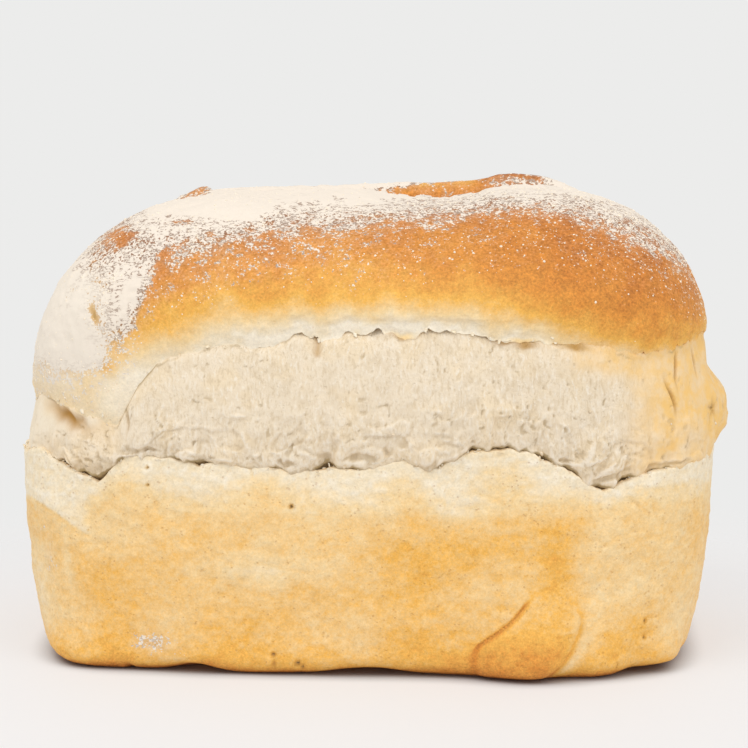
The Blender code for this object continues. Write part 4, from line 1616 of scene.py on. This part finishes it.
class LOAF_OT_loose_crumbs(bpy.types.Operator):
    """Builds the loose crumbs along the tear"""

    bl_idname = "loaf.loose_crumbs"
    bl_label = "Loose crumbs"

    def execute(self, context):
        sizes, colours = sized(context)
        material = powder_material("crumb_grain", colours.crumb, colours.crumb_shade, 1.5, 0.9)
        make_piece("loose_crumbs", loose_crumbs(sizes), material)
        return {"FINISHED"}


class LOAF_OT_flour_clumps(bpy.types.Operator):
    """Builds the loose flour on the cap"""

    bl_idname = "loaf.flour_clumps"
    bl_label = "Flour clumps"

    def execute(self, context):
        sizes, colours = sized(context)
        material = powder_material("flour_powder", colours.flour_grain, colours.torn_edge, 1.2, 0.95)
        make_piece("flour_clumps", flour_clumps(sizes), material)
        return {"FINISHED"}


def turned_to(thing, aim):
    """Turns a light or the camera to a point."""
    thing.rotation_euler = (Vector(aim) - thing.location).to_track_quat("-Z", "Y").to_euler()


def soft_light(name, power, place):
    """A square area light at a place."""
    data = bpy.data.lights.new(name, "AREA")
    data.energy, data.size = power, LIGHT_WIDTH
    light = bpy.data.objects.new(name, data)
    light.location = place
    turned_to(light, LIGHT_AIM)
    bpy.context.scene.collection.objects.link(light)


def studio_world():
    """Even light from all sides; the camera sees its own plain shade of it as the backdrop."""
    world = bpy.data.worlds.new("studio")
    world.use_nodes = True
    tree = world.node_tree
    tree.nodes.clear()
    seen = put(tree, "Background", four(BACKDROP), 1.0).outputs[0]
    lit = put(tree, "Background", four(SKY), SKY_STRENGTH).outputs[0]
    path = put(tree, "LightPath").outputs["Is Camera Ray"]
    mixed = put(tree, "MixShader", path, lit, seen).outputs[0]
    put(tree, "OutputWorld", mixed)
    bpy.context.scene.world = world


class LOAF_OT_stage(bpy.types.Operator):
    """Sets up the pale floor, the soft light and the camera"""

    bl_idname = "loaf.stage"
    bl_label = "Stage"

    def execute(self, context):
        scene = context.scene
        mesh = bpy.data.meshes.new("floor")
        corners = [(x * FLOOR_HALF, y * FLOOR_HALF, 0) for x, y in ((-1, -1), (1, -1), (1, 1), (-1, 1))]
        mesh.from_pydata(corners, [], [(0, 1, 2, 3)])
        mesh.materials.append(floor_material(scene.loaf_colours))
        floor = bpy.data.objects.new("floor", mesh)
        scene.collection.objects.link(floor)

        studio_world()
        for light in LIGHTS:
            soft_light(*light)
        scene.view_settings.view_transform = "Standard"

        turn = np.radians(CAMERA_TURN)
        data = bpy.data.cameras.new("camera")
        data.sensor_width, data.lens = SENSOR_WIDTH, SENSOR_WIDTH / 2 / np.tan(np.radians(HALF_VIEW))
        camera = bpy.data.objects.new("camera", data)
        camera.location = (CAMERA_FAR * np.sin(turn), -CAMERA_FAR * np.cos(turn), CAMERA_HIGH)
        turned_to(camera, CAMERA_AIM)
        scene.collection.objects.link(camera)
        scene.camera = camera
        return {"FINISHED"}


STEPS = (
    LOAF_OT_lower_crust,
    LOAF_OT_torn_crumb,
    LOAF_OT_top_crust,
    LOAF_OT_lip_flakes,
    LOAF_OT_loose_crumbs,
    LOAF_OT_flour_clumps,
    LOAF_OT_stage,
)


class LOAF_PT_panel(bpy.types.Panel):
    """Sizes, colours and building steps of the loaf"""

    bl_label = "White farmhouse loaf"
    bl_idname = "LOAF_PT_panel"
    bl_space_type = "VIEW_3D"
    bl_region_type = "UI"
    bl_category = "Loaf"

    def draw(self, context):
        for values in (context.scene.loaf_sizes, context.scene.loaf_colours):
            box = self.layout.box()
            for name in values.__annotations__:
                box.prop(values, name)
        for step in STEPS:
            self.layout.operator(step.bl_idname)


CLASSES = (LoafSizes, LoafColours, *STEPS, LOAF_PT_panel)


def register():
    for made in CLASSES:
        bpy.utils.register_class(made)
    bpy.types.Scene.loaf_sizes = PointerProperty(type=LoafSizes)
    bpy.types.Scene.loaf_colours = PointerProperty(type=LoafColours)


def unregister():
    del bpy.types.Scene.loaf_colours, bpy.types.Scene.loaf_sizes
    for made in reversed(CLASSES):
        bpy.utils.unregister_class(made)


def main():
    """Registers the add-on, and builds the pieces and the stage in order."""
    register()
    for step in STEPS:
        group_name, name = step.bl_idname.split(".")
        getattr(getattr(bpy.ops, group_name), name)()


if __name__ == "__main__":
    main()
